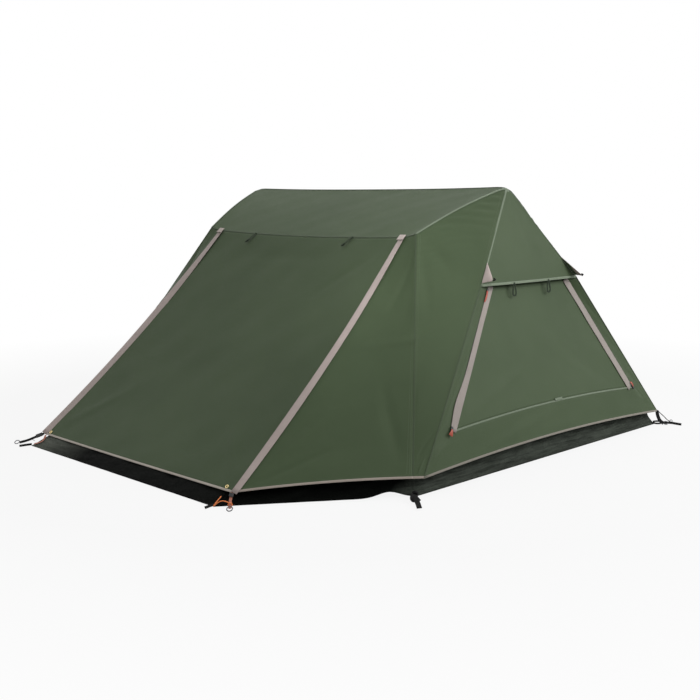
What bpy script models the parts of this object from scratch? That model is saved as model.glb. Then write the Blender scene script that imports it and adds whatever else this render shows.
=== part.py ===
"""Frame tent: a sewn fly with a front awning panel and a zipped door at each side, a tub floor,
and a folding frame of ridge pole, hubs, arms and telescopic legs under the cloth.

Metres, +Z up. The ridge runs along X, the awning faces -Y, and the origin is on the ground
under the middle of the ridge.
"""
import math

import bmesh
import bpy
from mathutils import Matrix, Vector

# Fly, measured to the inside of the cloth
RIDGE_HEIGHT = 1.250
RIDGE_HALF = 0.901
RIDGE_SAG = 0.010
EAVE_HEIGHT = 1.037
EAVE_HALF = 0.749
EAVE_REACH = 0.476
ZIP_TOP_HALF = 0.666
ZIP_TOP_HEIGHT = 1.021
EAVE_SAG = 0.014
AWNING_FOOT_HALF = 0.738
AWNING_FOOT_REACH = 1.551
AWNING_HEM_HEIGHT = 0.046
CORNER_HALF = 1.215
CORNER_REACH = 0.944
HEM_HEIGHT = 0.079
LEG_PANEL_FOOT = 0.045
LEG_PANEL_BEND = 0.38
VESTIBULE_HOLLOW = 0.016
BACK_WALL_HOLLOW = 0.014

# Rain hood over each side door
HOOD_HALF = 1.049
HOOD_REACH = 0.377
HOOD_HEIGHT = 0.819
HOOD_TIP = 0.030
HOOD_LAP = 0.013

# Side doors
DOOR_HEAD_HEIGHT = 0.806
DOOR_HEAD_FRONT = 0.288
DOOR_HEAD_BACK = 0.346
DOOR_FOOT_HALF = 1.192
DOOR_FOOT_FRONT = 0.752
DOOR_FOOT_BACK = 0.715
DOOR_FOOT_HEIGHT = 0.233
DOOR_GAP = 0.0017

# Floor tub
FLOOR_FRONT_HALF = 0.719
FLOOR_FRONT_REACH = 1.630
FLOOR_HALF = 1.191
FLOOR_REACH = 0.959
WALL_HEIGHT = 0.110
WALL_LEAN = 0.050
WALL_FRONT_HEIGHT = 0.050
WALL_FRONT_LEAN = 0.105

# Cloth, trim and clearances
CLOTH = 0.003
SHEET = 0.003
TRIM = 0.002
SEAM_GAP = 0.0003
TOUCH = 0.0003

# Zips, guy points and webbing
ZIP_FLAP = 0.030
ZIP_SET_BACK = 0.008
PULL_LENGTH = 0.034
PULL_WIDTH = 0.011
PULL_THICKNESS = 0.004
PULL_CLEAR = 0.045
PULL_LIFT = 0.0005
BACK_PULL_LIFT = 0.0009
GUY_TAB_RISE = 0.095
GUY_TAB_OUT = 0.048
GUY_TAB_TURN = 0.016
GUY_TAB_LIFT = 0.016
GUY_TAB_END = 0.012
GUY_TAB_ROOT = 0.0036
WEBBING = 0.020
TIE_OUT = 0.034
RING_RADIUS = 0.012
RING_WIRE = 0.002
RING_STEPS = 6
TAIL_LENGTH = 0.170
TAIL_OUT = 0.66
TAIL_FORWARD = 0.75

# Frame
POLE_RADIUS = 0.011
POLE_DROP = 0.0226
HUB_HALF = 0.847
HUB_LENGTH = 0.078
HUB_RADIUS = 0.0099
HUB_NOSE_RADIUS = 0.0066
HUB_NOSE = 0.016
HUB_NECK = 0.0088
HUB_BLOCK_INSET = 0.002
PIVOT_DROP = 0.034
PIVOT_OUT = 0.036
ARM_RADIUS = 0.010
ELBOW_IN = 0.022
ELBOW_BACK = 0.021
ELBOW_DROP = 0.048
FOOT_HALF = 1.163
FOOT_REACH = 0.934
LUG_RADIUS = 0.014
LUG_LENGTH = 0.034
TONGUE = 0.010
CHEEK = 0.005
LUG_CLEARANCE = 0.0004
PIN_RADIUS = 0.004
PIN_CLEARANCE = 0.0003
UPPER_LENGTH = 0.548
UPPER_RADIUS = 0.0110
BORE_RADIUS = 0.0092
BORE_ROOF = 0.044
LOWER_RADIUS = 0.0085
LOWER_OVERLAP = 0.088
COLLAR_RADIUS = 0.0175
COLLAR_LENGTH = 0.058
BUTTON_RADIUS = 0.0050
BUTTON_CLEARANCE = 0.0004
BUTTON_ROUND = 0.0020
BUTTON_PROUD = 0.0050
BUTTON_TRAVEL = 0.0025
BUTTON_SPARE = 0.0013
FOOT_RADIUS = 0.0140
FOOT_LENGTH = 0.040
FOOT_TIP_RADIUS = 0.0049
FOOT_TIP_START = 0.0224
FOOT_TIP_END = 0.0028

SIDES = {"right": 1, "left": -1}
ENDS = {"front": -1, "back": 1}
ROUND_STEPS = 14
TENT_CORE = Vector((0.0, 0.0, EAVE_HEIGHT / 2))


def corner(side, end, half, reach, height):
    """A point of the tent given once and mirrored to any of its quarters."""
    return Vector((side * half, end * reach, height))


def apex(side):
    return Vector((side * RIDGE_HALF, 0.0, RIDGE_HEIGHT))


def eave(side, end):
    return corner(side, end, EAVE_HALF, EAVE_REACH, EAVE_HEIGHT)


def hem_corner(side, end):
    return corner(side, end, CORNER_HALF, CORNER_REACH, HEM_HEIGHT)


def awning_corner(side):
    return corner(side, -1, AWNING_FOOT_HALF, AWNING_FOOT_REACH, AWNING_HEM_HEIGHT)


def zip_top(side):
    return corner(side, -1, ZIP_TOP_HALF, EAVE_REACH, ZIP_TOP_HEIGHT)


def eave_line(end):
    """The eave from shoulder to shoulder: it drops to the zip tops and sags a little between them."""
    line = run([corner(side, end, ZIP_TOP_HALF, EAVE_REACH, ZIP_TOP_HEIGHT) for side in (-1, 1)], 10)
    for p in line:
        p.z -= EAVE_SAG * (1 - (p.x / ZIP_TOP_HALF) ** 2)
    return [eave(-1, end)] + line + [eave(1, end)]


def leg_hem(side, end):
    """Where the leg's seam meets the hem, a little round the corner from the side's edge."""
    here = hem_corner(side, end)
    along = awning_corner(side) - here if end < 0 else Vector((-side, 0.0, 0.0))
    along.z = 0.0
    return here + along.normalized() * LEG_PANEL_FOOT


def hood_corner(side, end):
    return corner(side, end, HOOD_HALF, HOOD_REACH, HOOD_HEIGHT)


def door_head(side, end):
    """A top corner of the side door, on the side's own plane under the hood."""
    share = (RIDGE_HEIGHT - DOOR_HEAD_HEIGHT) / (RIDGE_HEIGHT - HEM_HEIGHT)
    half = RIDGE_HALF + (CORNER_HALF - RIDGE_HALF) * share
    reach = DOOR_HEAD_FRONT if end < 0 else DOOR_HEAD_BACK
    return corner(side, end, half, reach, DOOR_HEAD_HEIGHT)


def door_foot(side, end):
    reach = DOOR_FOOT_FRONT if end < 0 else DOOR_FOOT_BACK
    return corner(side, end, DOOR_FOOT_HALF, reach, DOOR_FOOT_HEIGHT)


def floor_outline():
    """The floor's six corners, anticlockwise from the front left."""
    return [
        Vector((-FLOOR_FRONT_HALF, -FLOOR_FRONT_REACH, 0.0)),
        Vector((FLOOR_FRONT_HALF, -FLOOR_FRONT_REACH, 0.0)),
        Vector((FLOOR_HALF, -FLOOR_REACH, 0.0)),
        Vector((FLOOR_HALF, FLOOR_REACH, 0.0)),
        Vector((-FLOOR_HALF, FLOOR_REACH, 0.0)),
        Vector((-FLOOR_HALF, -FLOOR_REACH, 0.0)),
    ]


def hub_pivot(side, end):
    return corner(side, end, HUB_HALF, PIVOT_OUT, RIDGE_HEIGHT - POLE_DROP - PIVOT_DROP)


def elbow(side, end):
    shoulder = eave(side, end)
    return shoulder + Vector((-side * ELBOW_IN, -end * ELBOW_BACK, -ELBOW_DROP))


def foot(side, end):
    return corner(side, end, FOOT_HALF, FOOT_REACH, SHEET + TOUCH)


def arm_axis(side, end):
    """The hub hinge's axis: level, and square to the arm, so that the arm swings up to level."""
    along = elbow(side, end) - hub_pivot(side, end)
    level = Vector((along.x, along.y, 0.0))
    return along.cross(level).normalized()


def leg_axis(side, end):
    """The elbow's axis: square to the arm and the leg, so that the leg opens in line with the arm."""
    arm = elbow(side, end) - hub_pivot(side, end)
    leg = foot(side, end) - elbow(side, end)
    return leg.cross(arm).normalized()


def leg_direction(side, end):
    return (foot(side, end) - elbow(side, end)).normalized()


def button_direction(side, end):
    """Out of the collar towards the inside of the tent, square to the leg."""
    leg = leg_direction(side, end)
    inward = Vector((-side, -end, 0.0))
    return (inward - leg * inward.dot(leg)).normalized()


def frame_at(origin, axis_z, near_x):
    """Matrix at a point, with local Z along axis_z and local X as near as can be to near_x."""
    z = axis_z.normalized()
    x = (near_x - z * near_x.dot(z)).normalized()
    turn = Matrix((x, z.cross(x), z)).transposed().to_4x4()
    return Matrix.Translation(origin) @ turn


def clear_scene():
    for old in list(bpy.data.objects):
        bpy.data.objects.remove(old, do_unlink=True)


def new_collection(name):
    made = bpy.data.collections.new(name)
    bpy.context.scene.collection.children.link(made)
    return made


def new_material(name, colour, roughness, metallic=0.0):
    made = bpy.data.materials.new(name)
    made.use_nodes = True
    shader = made.node_tree.nodes["Principled BSDF"]
    shader.inputs["Base Color"].default_value = (*colour, 1.0)
    shader.inputs["Roughness"].default_value = roughness
    shader.inputs["Metallic"].default_value = metallic
    return made


def add_part(name, mesh, matrix, material):
    made = bpy.data.objects.new(name, mesh)
    made.matrix_world = matrix
    mesh.materials.append(material)
    TENT.objects.link(made)
    return made


def add_tool(name, mesh, matrix):
    """A shape that only joins or cuts another one."""
    made = bpy.data.objects.new(name, mesh)
    made.matrix_world = matrix
    made.hide_render = True
    made.display_type = "WIRE"
    TOOLS.objects.link(made)
    return made


def combine(target, tool, operation):
    step = target.modifiers.new(tool.name, "BOOLEAN")
    step.operation = operation
    step.object = tool


def run(points, steps):
    """The points of a line of straight stretches, each cut into equal steps."""
    line = []
    for start, end in zip(points, points[1:]):
        line += [start.lerp(end, n / steps) for n in range(steps)]
    return line + [points[-1]]


def sheet(name, edge_a, edge_b, rows, material, thickness=CLOTH, hollow=0.0, lift=0.0, origin=None):
    """Cloth between two edges with as many points each, thickened away from the tent's core.

    Each row is the straight blend of the edges, drawn in by hollow at the middle of the panel,
    and every border keeps a seam's gap to the next panel.
    """
    stations = len(edge_a)
    net = [[a.lerp(b, r / rows) for r in range(rows + 1)] for a, b in zip(edge_a, edge_b)]
    middle = sum((p for line in net for p in line), Vector()) / (stations * (rows + 1))
    out = (edge_a[-1] - edge_a[0] + edge_b[-1] - edge_b[0]).cross(
        edge_b[stations // 2] - edge_a[stations // 2]
    )
    turned = out.dot(middle - TENT_CORE) < 0
    out = -out.normalized() if turned else out.normalized()
    for i, line in enumerate(net):
        for r, p in enumerate(line):
            belly = math.sin(math.pi * i / (stations - 1)) * math.sin(math.pi * r / rows)
            p += out * (lift - hollow * belly)
    for line in net:
        line[0] = line[0] + (line[1] - line[0]).normalized() * SEAM_GAP
        line[-1] = line[-1] + (line[-2] - line[-1]).normalized() * SEAM_GAP
    for r in range(rows + 1):
        first, last = net[0][r], net[-1][r]
        net[0][r] = first + (net[1][r] - first).normalized() * SEAM_GAP
        net[-1][r] = last + (net[-2][r] - last).normalized() * SEAM_GAP
    return skin(name, net, material, thickness, turned, origin)


def skin(name, net, material, thickness, turned, origin=None, closed=False):
    """A net of points as a sheet with a thickness, which grows on the side its faces look to."""
    origin = origin or Vector()
    shape = bmesh.new()
    grid = [[shape.verts.new(p - origin) for p in line] for line in net]
    pairs = list(zip(grid, grid[1:])) + ([(grid[-1], grid[0])] if closed else [])
    for one, other in pairs:
        for r in range(len(one) - 1):
            face = [one[r], other[r], other[r + 1], one[r + 1]]
            shape.faces.new(face[::-1] if turned else face)
    mesh = bpy.data.meshes.new(name)
    shape.to_mesh(mesh)
    shape.free()
    made = add_part(name, mesh, Matrix.Translation(origin), material)
    wall = made.modifiers.new("thickness", "SOLIDIFY")
    wall.thickness = thickness
    wall.offset = 1.0
    wall.use_even_offset = True
    return made


def outline_mesh(name, points, thickness):
    """A flat outline in XY, extruded to a plate centred on its own plane."""
    curve = bpy.data.curves.new(name, "CURVE")
    curve.dimensions = "2D"
    curve.fill_mode = "BOTH"
    curve.extrude = thickness / 2
    line = curve.splines.new("POLY")
    line.points.add(len(points) - 1)
    for place, (x, y) in zip(line.points, points):
        place.co = (x, y, 0.0, 1.0)
    line.use_cyclic_u = True
    guide = bpy.data.objects.new(name, curve)
    TOOLS.objects.link(guide)
    bpy.context.view_layer.update()
    plate = guide.evaluated_get(bpy.context.evaluated_depsgraph_get())
    mesh = bpy.data.meshes.new_from_object(plate)
    bpy.data.objects.remove(guide, do_unlink=True)
    shape = bmesh.new()
    shape.from_mesh(mesh)
    bmesh.ops.remove_doubles(shape, verts=shape.verts, dist=1e-6)
    bmesh.ops.recalc_face_normals(shape, faces=shape.faces)
    shape.to_mesh(mesh)
    shape.free()
    return mesh


def rounded_ends(length, width, steps=6):
    """A strip's outline with round ends, centred, its length along X."""
    r = width / 2
    run_out = length / 2 - r
    arc = [math.pi * (n / steps - 0.5) for n in range(steps + 1)]
    far = [(run_out + r * math.cos(t), r * math.sin(t)) for t in arc]
    return far + [(-x, -y) for x, y in far]


def lug_outline(length, radius, steps=8):
    """A hinge lug: a round eye at the origin and a straight root that reaches back along -X."""
    arc = [math.pi * (n / steps - 0.5) for n in range(steps + 1)]
    eye = [(radius * math.cos(t), radius * math.sin(t)) for t in arc]
    return [(-length, -radius)] + eye + [(-length, radius)]


def rod_mesh(name, radius, start, end):
    """A round bar along local Z."""
    shape = bmesh.new()
    bmesh.ops.create_cone(
        shape, cap_ends=True, segments=ROUND_STEPS, radius1=radius, radius2=radius, depth=end - start,
        matrix=Matrix.Translation((0.0, 0.0, (start + end) / 2)),
    )
    mesh = bpy.data.meshes.new(name)
    shape.to_mesh(mesh)
    shape.free()
    return mesh


def turned_mesh(name, profile):
    """A profile of (radius, z) points spun about Z: it ends on the axis or closes on itself."""
    shape = bmesh.new()
    line = [shape.verts.new((r, 0.0, z)) for r, z in profile]
    edges = [shape.edges.new(pair) for pair in zip(line, line[1:])]
    bmesh.ops.spin(
        shape, geom=line + edges, cent=(0, 0, 0), axis=(0, 0, 1), angle=2 * math.pi, steps=ROUND_STEPS,
    )
    bmesh.ops.remove_doubles(shape, verts=shape.verts, dist=1e-6)
    bmesh.ops.recalc_face_normals(shape, faces=shape.faces)
    mesh = bpy.data.meshes.new(name)
    shape.to_mesh(mesh)
    shape.free()
    return mesh


def add_fork(target, name, pivot, axis, back):
    """Two cheeks with a pin between them, which reach from the pivot back along a direction."""
    place = frame_at(pivot, axis, -back)
    cheek = outline_mesh(name + "_cheek", lug_outline(LUG_LENGTH, LUG_RADIUS), CHEEK)
    beside = TONGUE / 2 + LUG_CLEARANCE + CHEEK / 2
    for label, up in (("upper", beside), ("lower", -beside)):
        shift = Matrix.Translation((0.0, 0.0, up))
        combine(target, add_tool(f"{name}_{label}_cheek", cheek.copy(), place @ shift), "UNION")
    pin = rod_mesh(name + "_pin", PIN_RADIUS, -beside, beside)
    combine(target, add_tool(name + "_pin", pin, place), "UNION")


def add_tongue(target, name, pivot, axis, back):
    """A lug with the pin's hole, which reaches from the pivot back along a direction."""
    place = frame_at(pivot, axis, -back)
    lug = outline_mesh(name + "_lug", lug_outline(LUG_LENGTH, LUG_RADIUS), TONGUE)
    combine(target, add_tool(name + "_lug", lug, place), "UNION")
    hole = rod_mesh(name + "_hole", PIN_RADIUS + PIN_CLEARANCE, -TONGUE, TONGUE)
    combine(target, add_tool(name + "_hole", hole, place), "DIFFERENCE")


def make_fly():
    """Every sewn panel that stays with the ground, apart from the doors."""
    for end_name, end in ENDS.items():
        ridge = run([apex(-1), apex(1)], 12)
        for p in ridge:
            p.z -= RIDGE_SAG * (1 - (p.x / RIDGE_HALF) ** 2)
        sheet(f"roof_{end_name}", ridge, eave_line(end), 3, GREEN)
        for side_name, side in SIDES.items():
            seam = [eave(side, end), eave(side, end).lerp(leg_hem(side, end), LEG_PANEL_BEND)]
            edge = [apex(side), hood_corner(side, end), hem_corner(side, end)]
            leg_seam = run(seam + [leg_hem(side, end)], 4)
            sheet(f"leg_panel_{end_name}_{side_name}", leg_seam, run(edge, 4), 2, GREEN)
    for side_name, side in SIDES.items():
        front = run([zip_top(side), awning_corner(side)], 8)
        leg = run([eave(side, -1), leg_hem(side, -1)], 8)
        sheet(f"vestibule_side_{side_name}", front, leg, 4, GREEN, hollow=VESTIBULE_HOLLOW)
        make_side(side_name, side)
    hem = run([leg_hem(-1, 1), leg_hem(1, 1)], 12)
    sheet("back_wall", eave_line(1), hem, 6, GREEN, hollow=BACK_WALL_HOLLOW)


def make_side(side_name, side):
    """The hood and the cloth round the door on one side."""
    low = [hood_corner(side, -1), hood_corner(side, 1)]
    tip = [apex(side).lerp(p, HOOD_TIP) for p in low]
    sheet(f"hood_{side_name}", run(tip, 6), run(low, 6), 4, GREEN)
    drop = HOOD_LAP / (HOOD_HEIGHT - HEM_HEIGHT)
    ears = [p.lerp(hem_corner(side, end), drop) for p, end in zip(low, (-1, 1))]
    outer = [ears[0], hem_corner(side, -1), hem_corner(side, 1), ears[1]]
    inner = [door_head(side, -1), door_foot(side, -1), door_foot(side, 1), door_head(side, 1)]
    sheet(f"side_surround_{side_name}", run(outer, 8), run(inner, 8), 3, GREEN)


def make_doors():
    """The awning panel and the side doors, with their origins on the lines they hang from."""
    hinge = Vector((0.0, -EAVE_REACH, ZIP_TOP_HEIGHT))
    bottom = run([awning_corner(-1), awning_corner(1)], 10)
    sheet("awning", eave_line(-1)[1:-1], bottom, 6, GREEN, origin=hinge)
    for side_name, side in SIDES.items():
        inward = Vector((-side, 0.0, 0.0))
        near = [p + inward * ZIP_SET_BACK for p in (zip_top(side), awning_corner(side))]
        far = [p + inward * ZIP_FLAP for p in near]
        near, far = run(near, 6), run(far, 6)
        sheet(f"awning_zip_{side_name}", near, far, 1, TRIM_GREY, TRIM, lift=CLOTH + TOUCH, origin=hinge)
        make_side_door(side_name, side)


def make_side_door(side_name, side):
    """A side door, a little narrower than its doorway, with its zip flap round three edges."""
    hinge = (door_head(side, -1) + door_head(side, 1)) / 2
    narrow = Vector((0.0, DOOR_GAP, 0.0))
    top = [door_head(side, -1) + narrow, door_head(side, 1) - narrow]
    bottom = [door_foot(side, -1) + narrow, door_foot(side, 1) - narrow]
    sheet(f"side_door_{side_name}", run(top, 6), run(bottom, 6), 5, GREEN, origin=hinge)
    edge = [top[0], bottom[0], bottom[1], top[1]]
    heart = sum(edge, Vector()) / 4
    outer = [p.lerp(heart, ZIP_SET_BACK / (p - heart).length) for p in edge]
    inner = [p.lerp(heart, ZIP_FLAP / (p - heart).length) for p in outer]
    flap = f"side_zip_{side_name}"
    lift = CLOTH + TOUCH
    sheet(flap, run(outer, 5), run(inner, 5), 1, TRIM_GREY, TRIM, lift=lift, origin=hinge)


def make_pull(name, place, along, out, lift=PULL_LIFT):
    """A zip slider's pull, lying on the cloth with its length along the zip."""
    seat = place + out * (CLOTH + lift + PULL_THICKNESS / 2)
    mesh = outline_mesh(name, rounded_ends(PULL_LENGTH, PULL_WIDTH), PULL_THICKNESS)
    return add_part(name, mesh, frame_at(seat, out, along), PULL_RED)


def out_of_side(side, along, across):
    """The way out of a side's cloth where it runs along one direction and across to another."""
    out = along.cross(across).normalized()
    return out if out.x * side > 0 else -out


def side_pulls(side):
    """For each zip pull of one side: where it lies, the way it opens its zip, and the way out."""
    back = Vector((0.0, 1.0, 0.0))
    down = (door_foot(side, -1) - door_head(side, -1)).normalized()
    ear = (hood_corner(side, -1) - door_head(side, -1)).normalized()
    sill = Vector((side * (CORNER_HALF - DOOR_FOOT_HALF), 0.0, HEM_HEIGHT - DOOR_FOOT_HEIGHT)).normalized()
    up = (door_head(side, 1) - door_foot(side, 1)).normalized()
    level = PULL_LENGTH / (door_head(side, 1) - door_foot(side, 1)).length
    edge = hem_corner(side, 1).lerp(hood_corner(side, 1), level)
    flank = (edge - door_foot(side, 1).lerp(door_head(side, 1), level)).normalized()
    beside = flank - up * flank.dot(up)
    return {
        "upper": (door_head(side, -1) + ear * PULL_WIDTH + down * PULL_CLEAR, down, ear),
        "lower": (door_foot(side, -1) + sill * PULL_WIDTH + back * PULL_LENGTH, back, sill),
        "back": (door_foot(side, 1) + beside.normalized() * PULL_WIDTH + up * PULL_LENGTH, up, flank),
    }


def awning_pull(side):
    """An awning pull's place on the seam near the ground, the way up the zip, and the way out."""
    up = (zip_top(side) - awning_corner(side)).normalized()
    awning_out = up.cross(Vector((1.0, 0.0, 0.0)))
    awning_out = awning_out if awning_out.z > 0 else -awning_out
    side_out = out_of_side(side, up, leg_hem(side, -1) - awning_corner(side))
    return awning_corner(side) + up * PULL_CLEAR, up, (awning_out.normalized() + side_out).normalized()


def make_pulls():
    for side_name, side in SIDES.items():
        for label, (place, along, across) in side_pulls(side).items():
            out = out_of_side(side, along, across)
            lift = BACK_PULL_LIFT if label == "back" else PULL_LIFT
            make_pull(f"side_pull_{label}_{side_name}", place, along, out, lift)
        make_pull(f"awning_pull_{side_name}", *awning_pull(side))


def make_guy_tabs():
    """Triangular tabs that stand out of the hood's lower corners, where guy lines tie on."""
    for side_name, side in SIDES.items():
        for end_name, end in ENDS.items():
            low = hood_corner(side, end)
            rise = (apex(side) - low).normalized()
            out = Vector((side * GUY_TAB_OUT, -end * GUY_TAB_TURN, GUY_TAB_LIFT))
            root = out.normalized() * GUY_TAB_ROOT
            place = frame_at(low + root, out.cross(rise), rise)
            flat = place.inverted() @ (low + root + out)
            tip = [(flat.x + GUY_TAB_END / 2, flat.y), (flat.x - GUY_TAB_END / 2, flat.y)]
            points = [(0.0, 0.0), (GUY_TAB_RISE, 0.0)] + tip
            mesh = outline_mesh(f"guy_tab_{end_name}_{side_name}", points, TRIM)
            add_part(f"guy_tab_{end_name}_{side_name}", mesh, place, TRIM_GREY)


def make_corner_ties():
    """Webbing from each pegged hem corner to a peg ring on the ground."""
    for side_name, side in SIDES.items():
        for end_name, end in ENDS.items():
            hem = awning_corner(side) if end < 0 else hem_corner(side, end)
            base = floor_outline()[1 if end < 0 else 3].copy()
            base.x = abs(base.x) * side
            make_tie(f"corner_tie_{end_name}_{side_name}", hem, base, side, end)


def make_tie(name, hem, base, side, end):
    """A strap that hangs from the hem's corner to the ground and ends in a ring that lies flat."""
    out = Vector((side, end, 0.0)).normalized()
    across = Vector((-end * side, 1.0, 0.0)).normalized()
    top = hem - Vector((0.0, 0.0, 2 * TOUCH))
    ground = Vector((hem.x, hem.y, 0.0))
    reach = max((base - ground).dot(out), 0.0) + TIE_OUT
    low = ground + out * reach + Vector((0.0, 0.0, TRIM))
    bend = low - out * TIE_OUT / 2 + Vector((0.0, 0.0, TRIM))
    line = [top, bend, low]
    net = [[p - across * WEBBING / 2, p + across * WEBBING / 2] for p in line]
    strap = skin(name, net, BLACK, TRIM, turned=True)
    turns = [2 * math.pi * n / RING_STEPS for n in range(RING_STEPS + 1)]
    wire = [(RING_RADIUS + RING_WIRE * math.cos(t), RING_WIRE * math.sin(t)) for t in turns]
    place = Matrix.Translation(low + out * (RING_RADIUS - RING_WIRE) + Vector((0.0, 0.0, RING_WIRE - TRIM)))
    combine(strap, add_tool(name + "_ring", turned_mesh(name + "_ring", wire), place), "UNION")


def make_floor():
    """The ground sheet, the low wall sewn round it and the webbing tails at the front legs."""
    sheet_mesh = outline_mesh("groundsheet", [(p.x, p.y) for p in floor_outline()], SHEET)
    add_part("groundsheet", sheet_mesh, Matrix.Translation((0.0, 0.0, SHEET / 2)), BLACK)
    low = [p + Vector((0.0, 0.0, SHEET + TOUCH)) for p in floor_outline()]
    high = []
    for p in floor_outline():
        at_front = abs(p.y) > FLOOR_REACH + SEAM_GAP
        lean = WALL_FRONT_LEAN if at_front else WALL_LEAN
        height = WALL_FRONT_HEIGHT if at_front else WALL_HEIGHT
        inward = Vector((-math.copysign(WALL_LEAN, p.x), -math.copysign(lean, p.y), 0.0))
        high.append(p + inward + Vector((0.0, 0.0, height)))
    ring_low = run(low + low[:1], 3)[:-1]
    ring_high = run(high + high[:1], 3)[:-1]
    net = [[a, b] for a, b in zip(ring_low, ring_high)]
    skin("floor_wall", net, BLACK, CLOTH, turned=False, closed=True)
    for side_name, side in SIDES.items():
        out = Vector((side * TAIL_OUT, -TAIL_FORWARD, 0.0)).normalized()
        start = Vector((side * FLOOR_HALF, -FLOOR_REACH, 0.0)) + out * TOUCH
        place = frame_at(start + out * TAIL_LENGTH / 2 + Vector((0, 0, TRIM / 2)), Vector((0, 0, 1)), out)
        mesh = outline_mesh(f"floor_tail_{side_name}", rounded_ends(TAIL_LENGTH, WEBBING), TRIM)
        add_part(f"floor_tail_{side_name}", mesh, place, BLACK)


def make_ridge():
    """The ridge pole between two hubs, each hub with a fork for its front and its back arm."""
    height = RIDGE_HEIGHT - POLE_DROP
    inner = HUB_HALF - HUB_LENGTH / 2 - TOUCH
    along = Vector((1.0, 0.0, 0.0))
    place = frame_at(Vector((0.0, 0.0, height)), along, Vector((0.0, 0.0, 1.0)))
    add_part("ridge_pole", rod_mesh("ridge_pole", POLE_RADIUS, -inner, inner), place, TUBE)
    for side_name, side in SIDES.items():
        middle = Vector((side * HUB_HALF, 0.0, height))
        place = frame_at(middle, along * side, Vector((0.0, 0.0, 1.0)))
        half = HUB_LENGTH / 2
        nose = [
            (0.0, -half), (HUB_RADIUS, -half), (HUB_RADIUS, half - HUB_NOSE),
            (HUB_NOSE_RADIUS, half), (0.0, half),
        ]
        hub = add_part(f"hub_{side_name}", turned_mesh(f"hub_{side_name}", nose), place, PLASTIC)
        drop = Matrix.Translation(Vector((0.0, 0.0, -PIVOT_DROP)) + middle)
        block = bmesh.new()
        bmesh.ops.create_cube(block, size=1.0)
        depth = 2 * (PIVOT_OUT - LUG_RADIUS - HUB_BLOCK_INSET)
        size = Vector((TONGUE + 2 * CHEEK + 2 * LUG_CLEARANCE, depth, 2 * LUG_RADIUS))
        bmesh.ops.scale(block, vec=size, verts=block.verts)
        mesh = bpy.data.meshes.new(f"hub_block_{side_name}")
        block.to_mesh(mesh)
        block.free()
        combine(hub, add_tool(f"hub_block_{side_name}", mesh, drop), "UNION")
        neck = rod_mesh(f"hub_neck_{side_name}", HUB_NECK, -PIVOT_DROP, 0.0)
        combine(hub, add_tool(f"hub_neck_{side_name}", neck, Matrix.Translation(middle)), "UNION")
        for end_name, end in ENDS.items():
            arm = elbow(side, end) - hub_pivot(side, end)
            back = -Vector((arm.x, arm.y, 0.0)).normalized()
            name = f"hub_{side_name}_{end_name}"
            add_fork(hub, name, hub_pivot(side, end), arm_axis(side, end), back)


def make_quarter(side_name, side, end_name, end):
    """One arm with its telescopic leg and the leg's lock button."""
    label = f"{end_name}_{side_name}"
    pivot, knee = hub_pivot(side, end), elbow(side, end)
    along = (knee - pivot).normalized()
    reach = (knee - pivot).length
    gap = LUG_LENGTH - LUG_RADIUS / 2
    place = frame_at(pivot, along, Vector((0.0, 0.0, 1.0)))
    arm = add_part(f"arm_{label}", rod_mesh(f"arm_{label}", ARM_RADIUS, gap, reach - gap), place, TUBE)
    add_tongue(arm, f"arm_{label}_root", pivot, arm_axis(side, end), along)
    add_fork(arm, f"arm_{label}_elbow", knee, leg_axis(side, end), -along)

    down = leg_direction(side, end)
    length = (foot(side, end) - knee).length
    top = LUG_LENGTH - LUG_RADIUS / 2
    collar_top = UPPER_LENGTH - COLLAR_LENGTH
    tube = [
        (0.0, top), (UPPER_RADIUS, top), (UPPER_RADIUS, collar_top),
        (COLLAR_RADIUS, collar_top + (COLLAR_RADIUS - UPPER_RADIUS)), (COLLAR_RADIUS, UPPER_LENGTH),
        (BORE_RADIUS, UPPER_LENGTH), (BORE_RADIUS, BORE_ROOF), (0.0, BORE_ROOF),
    ]
    place = frame_at(knee, down, button_direction(side, end))
    upper = add_part(f"upper_leg_{label}", turned_mesh(f"upper_leg_{label}", tube), place, TUBE)
    add_tongue(upper, f"upper_leg_{label}_root", knee, leg_axis(side, end), down)

    out = button_direction(side, end)
    seat = knee + down * (UPPER_LENGTH - COLLAR_LENGTH / 2)
    socket = rod_mesh(f"socket_{label}", BUTTON_RADIUS + BUTTON_CLEARANCE, BORE_RADIUS / 2, 2 * COLLAR_RADIUS)
    socket_tool = add_tool(f"socket_{label}", socket, frame_at(seat, out, down))
    combine(upper, socket_tool, "DIFFERENCE")
    tip = COLLAR_RADIUS + BUTTON_PROUD
    root = BORE_RADIUS + BUTTON_TRAVEL + BUTTON_SPARE
    dome = [
        (0.0, root), (BUTTON_RADIUS, root), (BUTTON_RADIUS, tip - BUTTON_ROUND),
        (BUTTON_RADIUS - BUTTON_ROUND, tip), (0.0, tip),
    ]
    stud = turned_mesh(f"leg_button_{label}", dome)
    add_part(f"leg_button_{label}", stud, frame_at(seat, out, down), PULL_RED)

    start = UPPER_LENGTH - LOWER_OVERLAP
    stem = [
        (0.0, start), (LOWER_RADIUS, start), (LOWER_RADIUS, length - FOOT_LENGTH),
        (FOOT_RADIUS, length - FOOT_LENGTH + (FOOT_RADIUS - LOWER_RADIUS)),
        (FOOT_RADIUS, length - FOOT_TIP_START), (FOOT_TIP_RADIUS, length - FOOT_TIP_END),
        (0.0, length - FOOT_TIP_END),
    ]
    add_part(f"lower_leg_{label}", turned_mesh(f"lower_leg_{label}", stem), place, TUBE)


def make_frame():
    make_ridge()
    for side_name, side in SIDES.items():
        for end_name, end in ENDS.items():
            make_quarter(side_name, side, end_name, end)


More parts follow.
